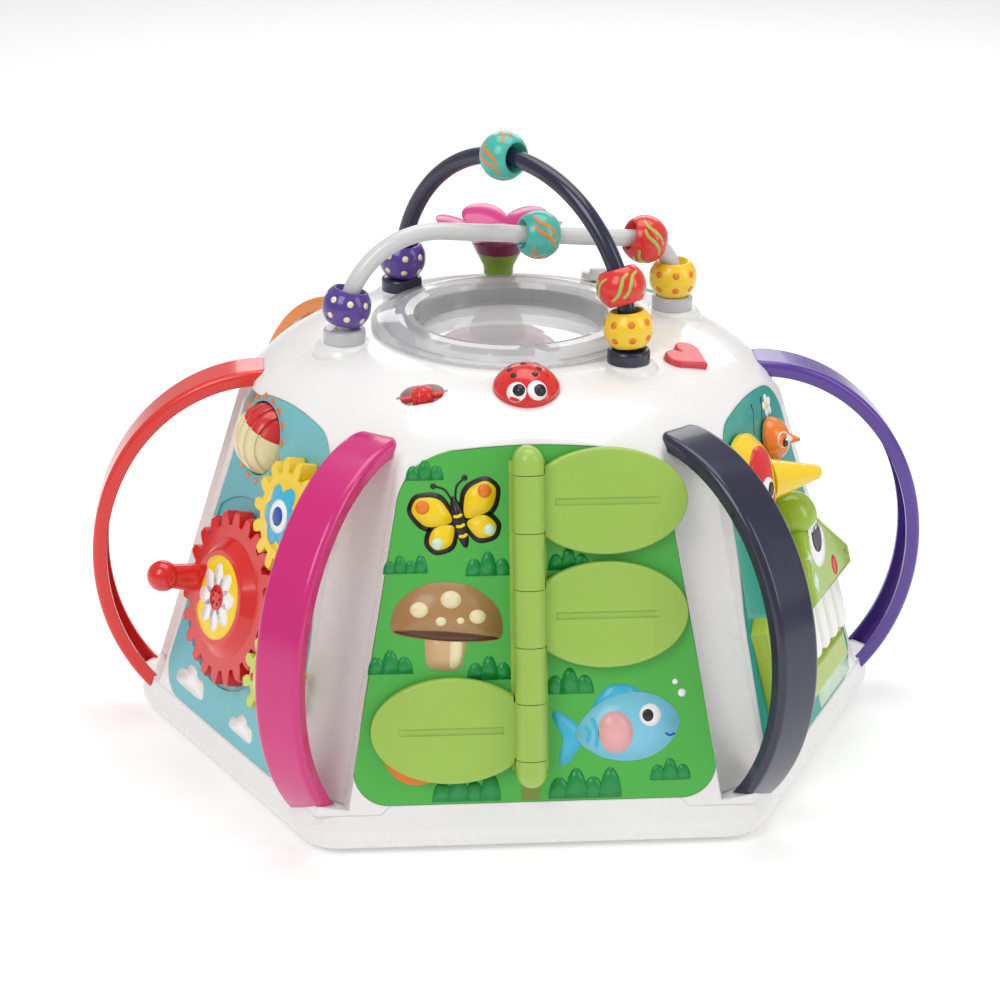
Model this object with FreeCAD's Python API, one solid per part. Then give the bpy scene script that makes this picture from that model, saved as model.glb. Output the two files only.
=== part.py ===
import FreeCAD, Part
import math
import os

# Six-sided baby activity centre, millimetres, +Z up.
# Origin: middle of the base, on the floor. The leaf panel faces -Y and +X is to its right.

V = FreeCAD.Vector
UP = V(0, 0, 1)

# Overall body
FRONT_APOTHEM = 178.0      # middle to the front and back faces, at floor level
SIDE_APOTHEM = 180.8       # middle to the four side faces, at floor level
SIDE_AZIMUTH = 27.4        # angle of a side face's normal from the X axis
LEAN = 0.27                # how far each face leans in, per unit of height
SEAM_Z = 21.8              # top of the tray, foot of the housing
TRAY_Z = 1.2               # underside of the tray
CORNER_R = 24.0            # rounding of the tray's six corners
TRAY_EDGE_R = 10.0         # rounding under the tray
TRAY_WALL = 3.0
SHELL_WALL = 4.4
DOME_Z = 214.0             # top of the domed roof
DOME_FLAT_R = 70.0         # radius of the roof's flat middle
DOME_ARC_R = 95.0          # profile radius of the roof outside that
DOME_TURN = 80.0           # how far round that profile is drawn, degrees
ROOF_EDGE_R = 6.0          # rounding between the roof and the faces

# Clearances
FIT = 0.05                 # running fit, on the radius
GAP = 0.3                  # gap between pieces that move past each other
PANEL_GAP = 0.25           # gap round a panel in its pocket
LIFT = 1.0                 # height of a moving piece above its panel

# Panels
PANEL_T = 2.2
FRONT_PANEL_LOW = 27.3     # height of the front and back panels' lower edge, up the face
FRONT_PANEL_HALF = 88.5
FRONT_PANEL_SHOULDER = 66.0
FRONT_PANEL_TOP = 202.0
SIDE_PANEL_LOW = 23.6
SIDE_PANEL_HALF = 67.5
SIDE_PANEL_SHOULDER = 46.5
SIDE_PANEL_TOP = 200.0
SIDE_PANEL_SHIFT = 2.7     # side panels sit this much nearer the front or back
PANEL_SHOULDER_V = 173.0
PANEL_CORNER_R = 17.0
SILL_HALF = 71.0           # half length of the tray's raised sill at its top

# Handles
HANDLE_ANGLES = {"handle_left": 180.0, "handle_front_left": -125.0, "handle_front_right": -55.0,
                 "handle_right": 0.0, "handle_back_right": 55.0, "handle_back_left": 125.0}
HANDLE_W = 25.0
HANDLE_T = 7.5
HANDLE_WALL = 2.5
HANDLE_CENTRE_R = 128.8
HANDLE_CENTRE_Z = 90.3
HANDLE_A = 91.0            # half axes of the strap's outer curve
HANDLE_B = 104.0
HANDLE_EDGE_R = 3.0
HANDLE_TONGUE_R = 11.0     # rounding of the strap's upper end
HANDLE_END_R = 122.0       # where the strap's upper end stops
HANDLE_FOOT_Z = 9.0        # lowest point of the strap's foot
CHANNEL_HALF = 18.2        # half width of the corner channel at the faces
CHANNEL_DEPTH = 3.5        # floor of the channel below the faces' edge

# Leaves and their hinge
COLUMN_U = -2.7
COLUMN_R = 7.4
COLUMN_LOW = 35.9
COLUMN_TOP = 202.4
PIN_R = 2.0
BACKING_T = 1.0
LEAF_V = {"leaf_top": 174.8, "leaf_middle": 119.4, "leaf_bottom": 64.0}
LEAF_SIDE = {"leaf_top": 1, "leaf_middle": 1, "leaf_bottom": -1}
LEAF_A = 39.5
LEAF_B = 26.0
LEAF_T = 4.6
LEAF_CENTRE = 38.0         # middle of the leaf's ellipse from the hinge axis
KNUCKLE_L = 27.6
LEAF_EDGE_R = 1.8
LEAF_GROOVE = 3.4          # width of the groove down the leaf's middle
LEAF_GROOVE_T = 0.8
LEAF_GROOVE_END = 64.0     # where the groove stops, from the hinge axis
LEAF_TIP_FALL = 8.0        # slope of the leaf's tip beyond that, degrees
WEB_L = 5.0                # knuckle's web over the leaf

# Gears
GEAR_MODULE = 3.8
GEAR_PRESSURE = 25.0
GEAR_BACKLASH = 0.7
GEAR_TIP = 0.8             # height of a tooth above the pitch circle, in modules
GEAR_ROOT = 1.2            # depth below it
FLANK_POINTS = 4
GEAR_BEVEL = 1.2
GEAR_ROOF = 2.0            # thickness left over the blind bore
BIG_TEETH = 22
MID_TEETH = 14
SMALL_TEETH = 10
BIG_GEAR_U = -7.0
BIG_GEAR_V = 94.5
MID_GEAR_DIR = 56.3
SMALL_GEAR_DIR = -19.8
GEAR_T = 8.5
MID_GEAR_T = 9.5
SMALL_GEAR_T = 11.5
BIG_DOME_R = 32.0
BIG_DOME_W = 14.5          # height of the big gear's raised middle above the face
BIG_DOME_TOP_R = 24.5
CRANK_R = 6.0
CRANK_FOOT_R = 8.0
CRANK_BALL_R = 8.0
CRANK_REACH = 25.7
CRANK_DIR = 176.6
CRANK_W = 41.0
WELL_U = -14.0             # shallow round well in the panel behind the big gear
WELL_R = 50.0
WELL_DEPTH = 1.2
WELL_EDGE = 3.0
AXLE_R = 5.0
AXLE_HEAD_R = 8.5
AXLE_HEAD_T = 2.0

# Ball in the left panel's window
BALL_U = -22.5
BALL_V = 175.5
BALL_R = 19.0
BALL_SINK = 6.0
BALL_PIN_R = 2.6
BALL_PIN_L = 4.2
EAR_T = 3.5
GROOVE_R = 0.9

# Bird heads
BIRD_U = -27.0
BIRD_V = 163.0
BIRD_R = 25.0
BIRD_H = 14.0
BIRD_BASE = 3.0            # straight part under a head's dome
BEAK_TIP = 35.0            # reach of the beak from the head's middle
BEAK_DIR = -14.0
BEAK_RISE = 25.0
BEAK_R = 11.0
BEAK_TIP_R = 4.0
CHICK_U = 17.5
CHICK_V = 171.0
CHICK_R = 11.5
CHICK_H = 10.0
CHICK_BEAK_R = 4.0
CHICK_BEAK_L = 9.0
SPINDLE_R = 4.0
SPINDLE_LIP = 1.0
SPINDLE_LIP_T = 1.6

# Crocodile
CROC_U = 17.0
CROC_HALF = 33.0
CROC_LOW = 88.0
CROC_BROW = 128.0
CROC_SNOUT = 101.0         # height of the snout's end, where the brow has sloped down
CROC_T = 19.0
EYE_U = -13.0              # the eye's bump from the head's middle
EYE_V = 133.0
EYE_W = 8.0
EYE_R = 13.5
JAW_LOW = 40.0
JAW_TOP = 56.0
JAW_END = 42.0
JAW_T = 9.0
CROC_EDGE_R = 5.0
TAIL_U = -62.0             # outer side of the tail
TAIL_W = 15.0
KEYS_U = 15.8
TAIL_TOP = 101.0
KEY_COUNT = 4
KEY_PITCH = 14.0
KEY_W = 12.6
KEY_LOW = 58.0
KEY_TOP = 90.0
KEY_H = 12.0
KEY_EDGE_R = 3.0
KEY_TRAVEL = 3.0
KEY_STEM_W = 7.0
KEY_STEM_L = 14.0
KEY_FLANGE = 1.0
KEY_FLANGE_T = 1.5

# Drum
DRUM_R = 72.4
DRUM_INNER_R = 48.5
DRUM_CREST_R = 56.0
DRUM_CREST_Z = 221.0
DRUM_LOW_Z = 215.4
DRUM_SKIRT_R = 66.0
DRUM_SKIRT_Z = 205.0
DRUM_DISC_Z = 208.0
DRUM_DISC_T = 2.0
DRUM_LIP = 6.5             # ledge under the ring that the disc is fixed to
DRUM_SKIRT_T = 2.5
WELL_WALL = 2.5
WELL_FLOOR_Z = 201.0
DRUM_TRAVEL = 1.0

# Flower
FLOWER_Y = 85.0
FLOWER_STEM_R = 8.0
FLOWER_NECK_R = 12.7
FLOWER_NECK_Z = 227.0
FLOWER_CUP_Z = 233.5
PETALS = 6
PETAL_W = 25.0
PETAL_T = 5.0
PETAL_TILT = 20.0
PETAL_RISE = 6.0
PETAL_TURN = 45.7          # direction of the first petal
FLOWER_R = 34.5

# Buttons, roller and switch on the roof
LADYBIRD_Y = -90.5
LADYBIRD_R = 16.2
LADYBIRD_H = 11.5
HEART_R = 96.5
HEART_ANGLE = -29.5
HEART_SIZE = 12.6
HEART_RISE = 2.8
BUTTON_TRAVEL = 2.0
FLANGE = 2.6
FLANGE_T = 1.8
ROLLER_R = 6.1
ROLLER_DIST = 102.0
ROLLER_ANGLE = -120.0
ROLLER_PIN_R = 1.6
CUP_HALF_L = 11.0
CUP_HALF_W = 7.6
CUP_WALL = 2.0
ROLLER_SINK = 2.0
ROLLER_HALF_L = 5.2
ROLLER_GROOVES = 3
ROLLER_GROOVE_R = 0.5
SWITCH_X = 53.0
SWITCH_Y = 76.0
SWITCH_R = 9.0
SWITCH_ANGLE = 55.1

# Bead wires
NAVY_R = 81.3
NAVY_ANGLE = -48.6
GREY_R = 89.7
GREY_ANGLE = 14.5
WIRE_R = 4.5
ARCH_R = 81.3
WIRE_FOOT_Z = 221.0        # height where the wires' curves start
COLLAR_R = 10.8
COLLAR_Z = 214.05
COLLAR_H = 7.0
BOSS_R = 16.0
BOSS_TOP_R = 11.6
BOSS_H = 8.5
SOCKET_Z = 203.0
GREY_LEG_R = 46.5
GREY_END_R = 24.0
GREY_FALL = 7.3            # fall of the grey wire's straight run, degrees
BEAD_R = 12.5
BEAD_FACE_R = 8.4
BEAD_L = 18.0
BEAD_MOUTH_R = 7.8
BEAD_LAND = 8.0
BEAD_PLAY = 0.95
NAVY_BEADS = {"navy_bead_yellow": 7.2, "navy_bead_red": 22.2, "navy_bead_teal": 94.6,
              "navy_bead_purple": 172.8}
GREY_BEAD_PURPLE = 14.0
GREY_BEAD_TEAL = 52.0
GREY_BEAD_RED = 72.0
GREY_BEAD_YELLOW_Z = 230.4

# Back activities
CLOCK_V = 118.0
MINUTE_L = 44.0
HOUR_L = 30.0
HAND_W = 9.0
HAND_T = 3.0
HAND_HUB_R = 8.0
HUB_PIN_R = 3.0
SLOT_V = 112.0
SLOT_HALF = 34.0
SLOT_W = 9.0
KNOB_R = 12.0
KNOB_H = 14.0
KNOB_FLANGE_R = 8.0
KNOB_FLANGE_T = 1.8
SPINNER_V = 118.0
SPINNER_R = 40.0
SPINNER_T = 5.0
SPINNER_HUB_R = 11.0
SPINNER_HUB_H = 12.0
BLADES = 4
BLADE_A = 15.0
BLADE_B = 12.0

# Inside and underneath
FLOOR_T = 3.0
FOOT_R = 8.0
FOOT_T = 1.6
FOOT_DIST = 150.0
SCREW_R = 2.0
SCREW_HEAD_R = 3.6
SCREW_HEAD_T = 2.0
SCREW_DIST = 158.0
SCREW_SEAT_Z = 6.0
SCREW_L = 24.0
POST_R = 6.0
POST_TOP = 40.0
DOOR_Y = 40.0
DOOR_L = 78.0
DOOR_W = 62.0
DOOR_T = 2.4
DOOR_LIP = 5.0             # ledge the battery door rests against
BAY_H = 17.0
BOARD = (90.0, 60.0, 1.6)
BOARD_POST_R = 3.0
BOARD_Z = 189.0            # top of the board, hung from the drum's well
SPEAKER_Y = -85.0
SPEAKER_R = 26.0
SPEAKER_H = 14.0
GRILLE_R = 1.6

NODES = {}


def rad(degrees):
    return math.radians(degrees)


def around(radius, degrees, z=0.0):
    return V(radius * math.cos(rad(degrees)), radius * math.sin(rad(degrees)), z)


def frame(origin, ex, ey, ez):
    """Placement whose local axes are ex, ey and ez."""
    return FreeCAD.Placement(FreeCAD.Matrix(ex.x, ey.x, ez.x, origin.x,
                                            ex.y, ey.y, ez.y, origin.y,
                                            ex.z, ey.z, ez.z, origin.z,
                                            0, 0, 0, 1))


LEAN_ANGLE = math.atan(LEAN)
FACES = {"front": (-90.0, FRONT_APOTHEM), "back": (90.0, FRONT_APOTHEM),
         "left": (180.0 + SIDE_AZIMUTH, SIDE_APOTHEM), "right": (-SIDE_AZIMUTH, SIDE_APOTHEM),
         "back_left": (180.0 - SIDE_AZIMUTH, SIDE_APOTHEM), "back_right": (SIDE_AZIMUTH, SIDE_APOTHEM)}


def face_frame(name):
    """Local frame of a face: u to the right, v up the face, w outward. Its v is 0 at floor level."""
    azimuth, apothem = FACES[name]
    n = around(1.0, azimuth)
    out = n * math.cos(LEAN_ANGLE) + UP * math.sin(LEAN_ANGLE)
    up = UP * math.cos(LEAN_ANGLE) - n * math.sin(LEAN_ANGLE)
    return frame(n * apothem, V(-n.y, n.x, 0), up, out)


def on_face(shape, name):
    placed = shape.copy()
    placed.Placement = face_frame(name).multiply(placed.Placement)
    return placed


def box(x0, y0, z0, x1, y1, z1):
    return Part.makeBox(x1 - x0, y1 - y0, z1 - z0, V(x0, y0, z0))


def moved(shape, x=0.0, y=0.0, z=0.0):
    copy = shape.copy()
    copy.translate(V(x, y, z))
    return copy


def slanted(edge):
    points = [v.Point for v in edge.Vertexes]
    return abs(points[0].z - points[-1].z) > 1.0


def hull(inset, z_low, z_high, corner_r):
    """Leaning six-sided solid, with rounded corners where a radius is given."""
    far = 3 * SIDE_APOTHEM
    solid = box(-far, -far, z_low, far, far, z_high)
    for name in FACES:
        solid = solid.common(on_face(box(-far, -far, -2 * far, far, far, -inset), name))
    if corner_r:
        solid = solid.makeFillet(corner_r, [e for e in solid.Edges if slanted(e)])
    return solid


def dome(inset):
    """Solid of revolution under the roof, which trims the housing's top."""
    top = DOME_Z - inset
    arc_r = DOME_ARC_R - inset

    def at(turn):
        return V(DOME_FLAT_R + arc_r * math.sin(rad(turn)), 0, top - arc_r * (1 - math.cos(rad(turn))))

    arc = Part.Arc(at(0), at(DOME_TURN / 2), at(DOME_TURN)).toShape()
    foot = V(SIDE_APOTHEM * 1.4, 0, 0)
    lines = Part.makePolygon([at(DOME_TURN), foot, V(0, 0, 0), V(0, 0, top), at(0)])
    face = Part.Face(Part.Wire([arc] + lines.Edges))
    return face.revolve(V(0, 0, 0), UP, 360)


def on_roof(edge, inset):
    """True where an edge lies on the curved part of the roof, away from its flat middle."""
    first, last = edge.ParameterRange
    for t in (first, (first + last) / 2, last):
        point = edge.valueAt(t)
        out = math.hypot(point.x, point.y) - DOME_FLAT_R
        arc_r = DOME_ARC_R - inset
        if out < 1.0 or out >= arc_r:
            return False
        if abs(point.z - (DOME_Z - inset - arc_r + math.sqrt(arc_r ** 2 - out ** 2))) > 0.05:
            return False
    return True


def handle_frame(angle):
    """Frame in a handle's own plane: x outward, y up, z across the strap."""
    out = around(1.0, angle)
    return frame(V(0, 0, 0), out, UP, V(out.y, -out.x, 0))


def channel_edge(angle, z):
    """Radius where the corner channel's wider side meets a face at height z."""
    out = around(1.0, angle)
    across = V(-out.y, out.x, 0)
    reach = []
    for azimuth, apothem in FACES.values():
        n = around(1.0, azimuth)
        if n.dot(out) > 0.5:
            for side in (-1, 1):
                reach.append((apothem - LEAN * z - side * CHANNEL_HALF * n.dot(across)) / n.dot(out))
    return min(reach)


def floor_line(angle):
    """Radius of the channel's floor at floor level, and how much it falls per unit of height."""
    low = channel_edge(angle, SEAM_Z)
    high = channel_edge(angle, DOME_Z)
    fall = (low - high) / (DOME_Z - SEAM_Z)
    return low + fall * SEAM_Z - CHANNEL_DEPTH, fall


def channel(angle, grow):
    """Cutter for a corner channel, made larger all round by grow."""
    radius, fall = floor_line(angle)
    out = around(1.0, angle)
    lean = math.atan(fall)
    up = UP * math.cos(lean) - out * math.sin(lean)
    normal = out * math.cos(lean) + UP * math.sin(lean)
    half = CHANNEL_HALF - CHANNEL_DEPTH + grow
    flare = 3 * CHANNEL_HALF
    outline = [V(-half, 0, -grow), V(half, 0, -grow), V(half + flare, 0, flare - grow),
               V(-half - flare, 0, flare - grow)]
    low = SEAM_Z / math.cos(lean) - 2 * grow
    bar = moved(Part.Face(Part.makePolygon(outline + outline[:1])), y=low)
    bar = bar.extrude(V(0, 1.2 * DOME_Z - low, 0))
    bar.Placement = frame(out * radius, V(-out.y, out.x, 0), up, normal).multiply(bar.Placement)
    return bar


def housing_block(inset):
    """The housing's outer form, or its inner form where inset is the wall."""
    block = hull(inset, SEAM_Z - (1.0 if inset else 0.0), DOME_Z + 10, 0)
    block = block.common(dome(inset))
    for angle in HANDLE_ANGLES.values():
        block = block.cut(channel(angle, inset))
    rim = [e for e in block.Edges if on_roof(e, inset)]
    return block.makeFillet(ROOF_EDGE_R - inset, rim)


def roof_z(x, y):
    """Height of the roof's outer surface."""
    out = max(0.0, math.hypot(x, y) - DOME_FLAT_R)
    return DOME_Z - DOME_ARC_R + math.sqrt(DOME_ARC_R ** 2 - out ** 2)


def disc(radius, z0, z1, x=0.0, y=0.0):
    return Part.makeCylinder(radius, z1 - z0, V(x, y, z0))


def turned(points):
    """Solid of revolution about Z from a closed outline of (radius, z) corners."""
    corners = [V(r, 0, z) for r, z in points]
    wire = Part.makePolygon(corners + corners[:1])
    return Part.Face(wire).revolve(V(0, 0, 0), UP, 360)


def prism(points, z0, z1):
    corners = [V(x, y, z0) for x, y in points]
    return Part.Face(Part.makePolygon(corners + corners[:1])).extrude(V(0, 0, z1 - z0))


def cap(radius, height):
    """Spherical cap of that radius at its base and that height, base at z = 0."""
    ball_r = (radius ** 2 + height ** 2) / (2 * height)
    ball = Part.makeSphere(ball_r, V(0, 0, height - ball_r))
    return ball.common(disc(2 * ball_r, 0, height + 1))


def save(name, shape):
    NODES[name] = shape


def panel_outline(low, half, shoulder, top, shift):
    """Closed wire of an arch-topped panel in the face's plane."""
    side_low = low + PANEL_CORNER_R
    s = math.sqrt(0.5)
    pts = {"b": (half - PANEL_CORNER_R, low), "s": (half, side_low),
           "bs": (half - PANEL_CORNER_R * (1 - s), low + PANEL_CORNER_R * (1 - s)),
           "h": (shoulder, PANEL_SHOULDER_V),
           "hk": (shoulder * 0.87, PANEL_SHOULDER_V + (top - PANEL_SHOULDER_V) * 0.62),
           "k": (shoulder * 0.55, top - 2.2)}

    def at(key, side):
        return V(shift + side * pts[key][0], pts[key][1], 0)

    edges = [Part.makeLine(at("b", -1), at("b", 1)),
             Part.Arc(at("b", 1), at("bs", 1), at("s", 1)).toShape(),
             Part.makeLine(at("s", 1), at("h", 1)),
             Part.Arc(at("h", 1), at("hk", 1), at("k", 1)).toShape(),
             Part.Arc(at("k", 1), V(shift, top, 0), at("k", -1)).toShape(),
             Part.Arc(at("k", -1), at("hk", -1), at("h", -1)).toShape(),
             Part.makeLine(at("h", -1), at("s", -1)),
             Part.Arc(at("s", -1), at("bs", -1), at("b", -1)).toShape()]
    return Part.Wire(edges)


def panel_wire(name):
    if name in ("front", "back"):
        return panel_outline(FRONT_PANEL_LOW, FRONT_PANEL_HALF, FRONT_PANEL_SHOULDER,
                             FRONT_PANEL_TOP, 0.0)
    shift = SIDE_PANEL_SHIFT if name in ("left", "back_right") else -SIDE_PANEL_SHIFT
    return panel_outline(SIDE_PANEL_LOW, SIDE_PANEL_HALF, SIDE_PANEL_SHOULDER,
                         SIDE_PANEL_TOP, shift)


def panel_plate(name):
    return moved(Part.Face(panel_wire(name)).extrude(V(0, 0, PANEL_T)), z=-PANEL_T)


def panel_pocket(name):
    grown = Part.Face(panel_wire(name)).makeOffset2D(PANEL_GAP)
    return moved(grown.extrude(V(0, 0, PANEL_T + 1)), z=-PANEL_T)


def cone(r0, r1, z0, z1, x=0.0, y=0.0):
    return Part.makeCone(r0, r1, z1 - z0, V(x, y, z0))


def ellipse_prism(a, b, z0, z1, x=0.0):
    edge = Part.Ellipse(V(x, 0, z0), a, b).toShape()
    return Part.Face(Part.Wire([edge])).extrude(V(0, 0, z1 - z0))


def stadium(half_l, half_w, z0, z1):
    """Prism with round ends, long way along x."""
    flat = half_l - half_w
    solid = box(-flat, -half_w, z0, flat, half_w, z1)
    return solid.fuse(disc(half_w, z0, z1, x=-flat)).fuse(disc(half_w, z0, z1, x=flat)).removeSplitter()


def softened(solid, radius, height):
    """Solid with the edges that lie wholly at that height rounded."""
    rim = [e for e in solid.Edges if all(abs(p.z - height) < 0.01 for p in e.discretize(5))]
    return solid.makeFillet(radius, rim)


def fused(shapes):
    return shapes[0].multiFuse(shapes[1:]).removeSplitter()


def roof_frame(distance, angle):
    """Frame on the roof: x down the slope, y round the body, z away from the roof."""
    out = around(1.0, angle)
    turn = math.asin(max(0.0, distance - DOME_FLAT_R) / DOME_ARC_R)
    down = out * math.cos(turn) - UP * math.sin(turn)
    normal = out * math.sin(turn) + UP * math.cos(turn)
    return frame(around(distance, angle, roof_z(distance, 0)), down, V(-out.y, out.x, 0), normal)


def on_roof_at(shape, distance, angle):
    placed = shape.copy()
    placed.Placement = roof_frame(distance, angle).multiply(placed.Placement)
    return placed


# Gears


def gear_outline(teeth, phase):
    """Tooth outline with a tooth's middle at the angle given."""
    pitch_r = GEAR_MODULE * teeth / 2
    base_r = pitch_r * math.cos(rad(GEAR_PRESSURE))
    root_r = pitch_r - GEAR_ROOT * GEAR_MODULE
    tip_r = pitch_r + GEAR_TIP * GEAR_MODULE
    half = (math.pi * GEAR_MODULE - GEAR_BACKLASH) / 4 / pitch_r

    def involute(r):
        turn = math.acos(min(1.0, base_r / r))
        return math.tan(turn) - turn

    start_r = max(root_r, base_r)
    flank = [(root_r, half + involute(pitch_r) - involute(start_r))] if root_r < base_r else []
    for i in range(FLANK_POINTS):
        r = start_r + (tip_r - start_r) * i / (FLANK_POINTS - 1)
        flank.append((r, half + involute(pitch_r) - involute(r)))
    points = []
    for k in range(teeth):
        middle = rad(phase) + 2 * math.pi * k / teeth
        points += [(r * math.cos(middle - a), r * math.sin(middle - a)) for r, a in flank]
        points += [(r * math.cos(middle + a), r * math.sin(middle + a)) for r, a in reversed(flank)]
    return points


def gear_body(teeth, thickness, phase):
    """Gear with bevelled teeth and a blind bore, lifted off the panel."""
    top = LIFT + thickness
    tip_r = GEAR_MODULE * (teeth / 2 + GEAR_TIP)
    body = prism(gear_outline(teeth, phase), LIFT, top)
    return body.common(turned([(0, LIFT), (tip_r + 1, LIFT), (tip_r + 1, top - GEAR_BEVEL - 1),
                               (tip_r - GEAR_BEVEL, top), (0, top)]))


def gear_bore(thickness):
    return disc(AXLE_R + FIT, LIFT - 1, LIFT + thickness - GEAR_ROOF)


def gear_spot(teeth, direction):
    """Place on the face of a gear in mesh with the big one, in that direction from it."""
    reach = GEAR_MODULE * (BIG_TEETH + teeth) / 2
    return BIG_GEAR_U + reach * math.cos(rad(direction)), BIG_GEAR_V + reach * math.sin(rad(direction))


def mesh_phase(teeth, direction):
    """Phase of a gear in mesh with the big one, whose own phase is zero."""
    lag = direction % (360.0 / BIG_TEETH)
    return direction + 180.0 + (lag * BIG_TEETH + 180.0) / teeth


MID_GEAR_AT = gear_spot(MID_TEETH, MID_GEAR_DIR)
SMALL_GEAR_AT = gear_spot(SMALL_TEETH, SMALL_GEAR_DIR)
GEAR_AT = {"big_gear": (BIG_GEAR_U, BIG_GEAR_V), "middle_gear": MID_GEAR_AT, "small_gear": SMALL_GEAR_AT}
GEAR_THICK = {"big_gear": GEAR_T, "middle_gear": MID_GEAR_T, "small_gear": SMALL_GEAR_T}


def make_gears():
    big = gear_body(BIG_TEETH, GEAR_T, 0.0)
    crank = around(CRANK_REACH, CRANK_DIR)
    post_top = CRANK_W - CRANK_BALL_R
    middle = cone(BIG_DOME_R, BIG_DOME_TOP_R, LIFT + GEAR_T - 1, BIG_DOME_W)
    middle = softened(middle, 2.0, BIG_DOME_W)
    big = fused([big, middle, cone(CRANK_FOOT_R, CRANK_R, LIFT + 1, post_top, crank.x, crank.y),
                 Part.makeSphere(CRANK_BALL_R, V(crank.x, crank.y, post_top))])
    mid_phase = mesh_phase(MID_TEETH, MID_GEAR_DIR)
    small_phase = mesh_phase(SMALL_TEETH, SMALL_GEAR_DIR)
    mid = gear_body(MID_TEETH, MID_GEAR_T, mid_phase)
    mid = fused([mid, moved(cap(18.0, 3.0), z=LIFT + MID_GEAR_T)])
    small = gear_body(SMALL_TEETH, SMALL_GEAR_T, small_phase)
    small = fused([small, moved(cap(11.5, 2.5), z=LIFT + SMALL_GEAR_T)])
    axles = []
    for name, body in (("big_gear", big), ("middle_gear", mid), ("small_gear", small)):
        u, v = GEAR_AT[name]
        save(name, on_face(moved(body.cut(gear_bore(GEAR_THICK[name])), u, v), "left"))
        pin = disc(AXLE_R, -SHELL_WALL, LIFT + GEAR_THICK[name] - GEAR_ROOF - GAP)
        pin = pin.fuse(disc(AXLE_HEAD_R, -SHELL_WALL - AXLE_HEAD_T, -SHELL_WALL))
        axles.append(on_face(moved(pin.removeSplitter(), u, v), "left"))
    save("gear_axles", Part.makeCompound(axles))


# Faces


def make_left_panel():
    face = Part.Face(panel_wire("left"))
    plate = panel_plate("left")
    well = Part.Face(Part.Wire([Part.Circle(V(WELL_U, BIG_GEAR_V, 0), UP, WELL_R).toShape()]))
    well = well.common(face.makeOffset2D(-WELL_EDGE)).extrude(V(0, 0, WELL_DEPTH + 1))
    plate = plate.cut(moved(well, z=-WELL_DEPTH))
    for u, v in GEAR_AT.values():
        plate = plate.cut(disc(AXLE_R + FIT, -SHELL_WALL, 1, u, v))
    plate = plate.cut(disc(BALL_R, -SHELL_WALL, 1, BALL_U, BALL_V))
    ears = []
    for side in (-1, 1):
        near = BALL_U + side * (BALL_R + GAP)
        far = near + side * EAR_T
        ear = box(min(near, far), BALL_V - 5, -BALL_SINK - 5, max(near, far), BALL_V + 5, -1)
        bore = Part.makeCylinder(BALL_PIN_R + FIT, 2 * EAR_T + 2, V(near - EAR_T - 1, BALL_V, -BALL_SINK),
                                 V(1, 0, 0))
        ears.append(ear.cut(bore))
    return on_face(fused([plate] + ears), "left")


def make_sun_roller():
    ball = Part.makeSphere(BALL_R)
    for k in range(-2, 3):
        x = k * BALL_R / 3.2
        ring = Part.makeTorus(math.sqrt(BALL_R ** 2 - x ** 2), GROOVE_R, V(x, 0, 0), V(1, 0, 0))
        ball = ball.cut(ring)
    reach = BALL_R + BALL_PIN_L
    ball = ball.fuse(Part.makeCylinder(BALL_PIN_R, 2 * reach, V(-reach, 0, 0), V(1, 0, 0)))
    return on_face(moved(ball, BALL_U, BALL_V, -BALL_SINK), "left")


def spindle():
    """Stub through the panel and shell, with a lip behind."""
    lip_top = -SHELL_WALL - GAP
    stub = disc(SPINDLE_R, lip_top - SPINDLE_LIP_T, LIFT + 1)
    return stub.fuse(disc(SPINDLE_R + SPINDLE_LIP, lip_top - SPINDLE_LIP_T, lip_top))


def make_birds():
    parrot = fused([disc(BIRD_R, LIFT, LIFT + BIRD_BASE),
                    moved(cap(BIRD_R, BIRD_H - BIRD_BASE), z=LIFT + BIRD_BASE)])
    tip = around(BEAK_TIP - BEAK_TIP_R, BEAK_DIR, LIFT + BEAK_RISE)
    root = around(BIRD_R * 0.45, BEAK_DIR, LIFT + BIRD_H * 0.5)
    along = tip - root
    beak = Part.makeCone(BEAK_R, BEAK_TIP_R, along.Length, root, along)
    beak = beak.common(box(-BIRD_R, -BIRD_R, LIFT, 2 * BIRD_R, BIRD_R, 2 * BIRD_R))
    parrot = fused([parrot, beak, Part.makeSphere(BEAK_TIP_R, tip), spindle()])
    save("parrot_head", on_face(moved(parrot, BIRD_U, BIRD_V), "right"))
    chick = fused([disc(CHICK_R, LIFT, LIFT + 2), moved(cap(CHICK_R, CHICK_H - 2), z=LIFT + 2)])
    root = V(0, 0, CHICK_H * 0.75)
    beak = Part.makeCone(CHICK_BEAK_R, 0.8, CHICK_BEAK_L, root, V(0.35, -0.35, 1.0))
    save("chick_head", on_face(moved(fused([chick, beak, spindle()]), CHICK_U, CHICK_V), "right"))


def key_centre(k):
    return KEYS_U + (k - (KEY_COUNT - 1) / 2) * KEY_PITCH


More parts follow.
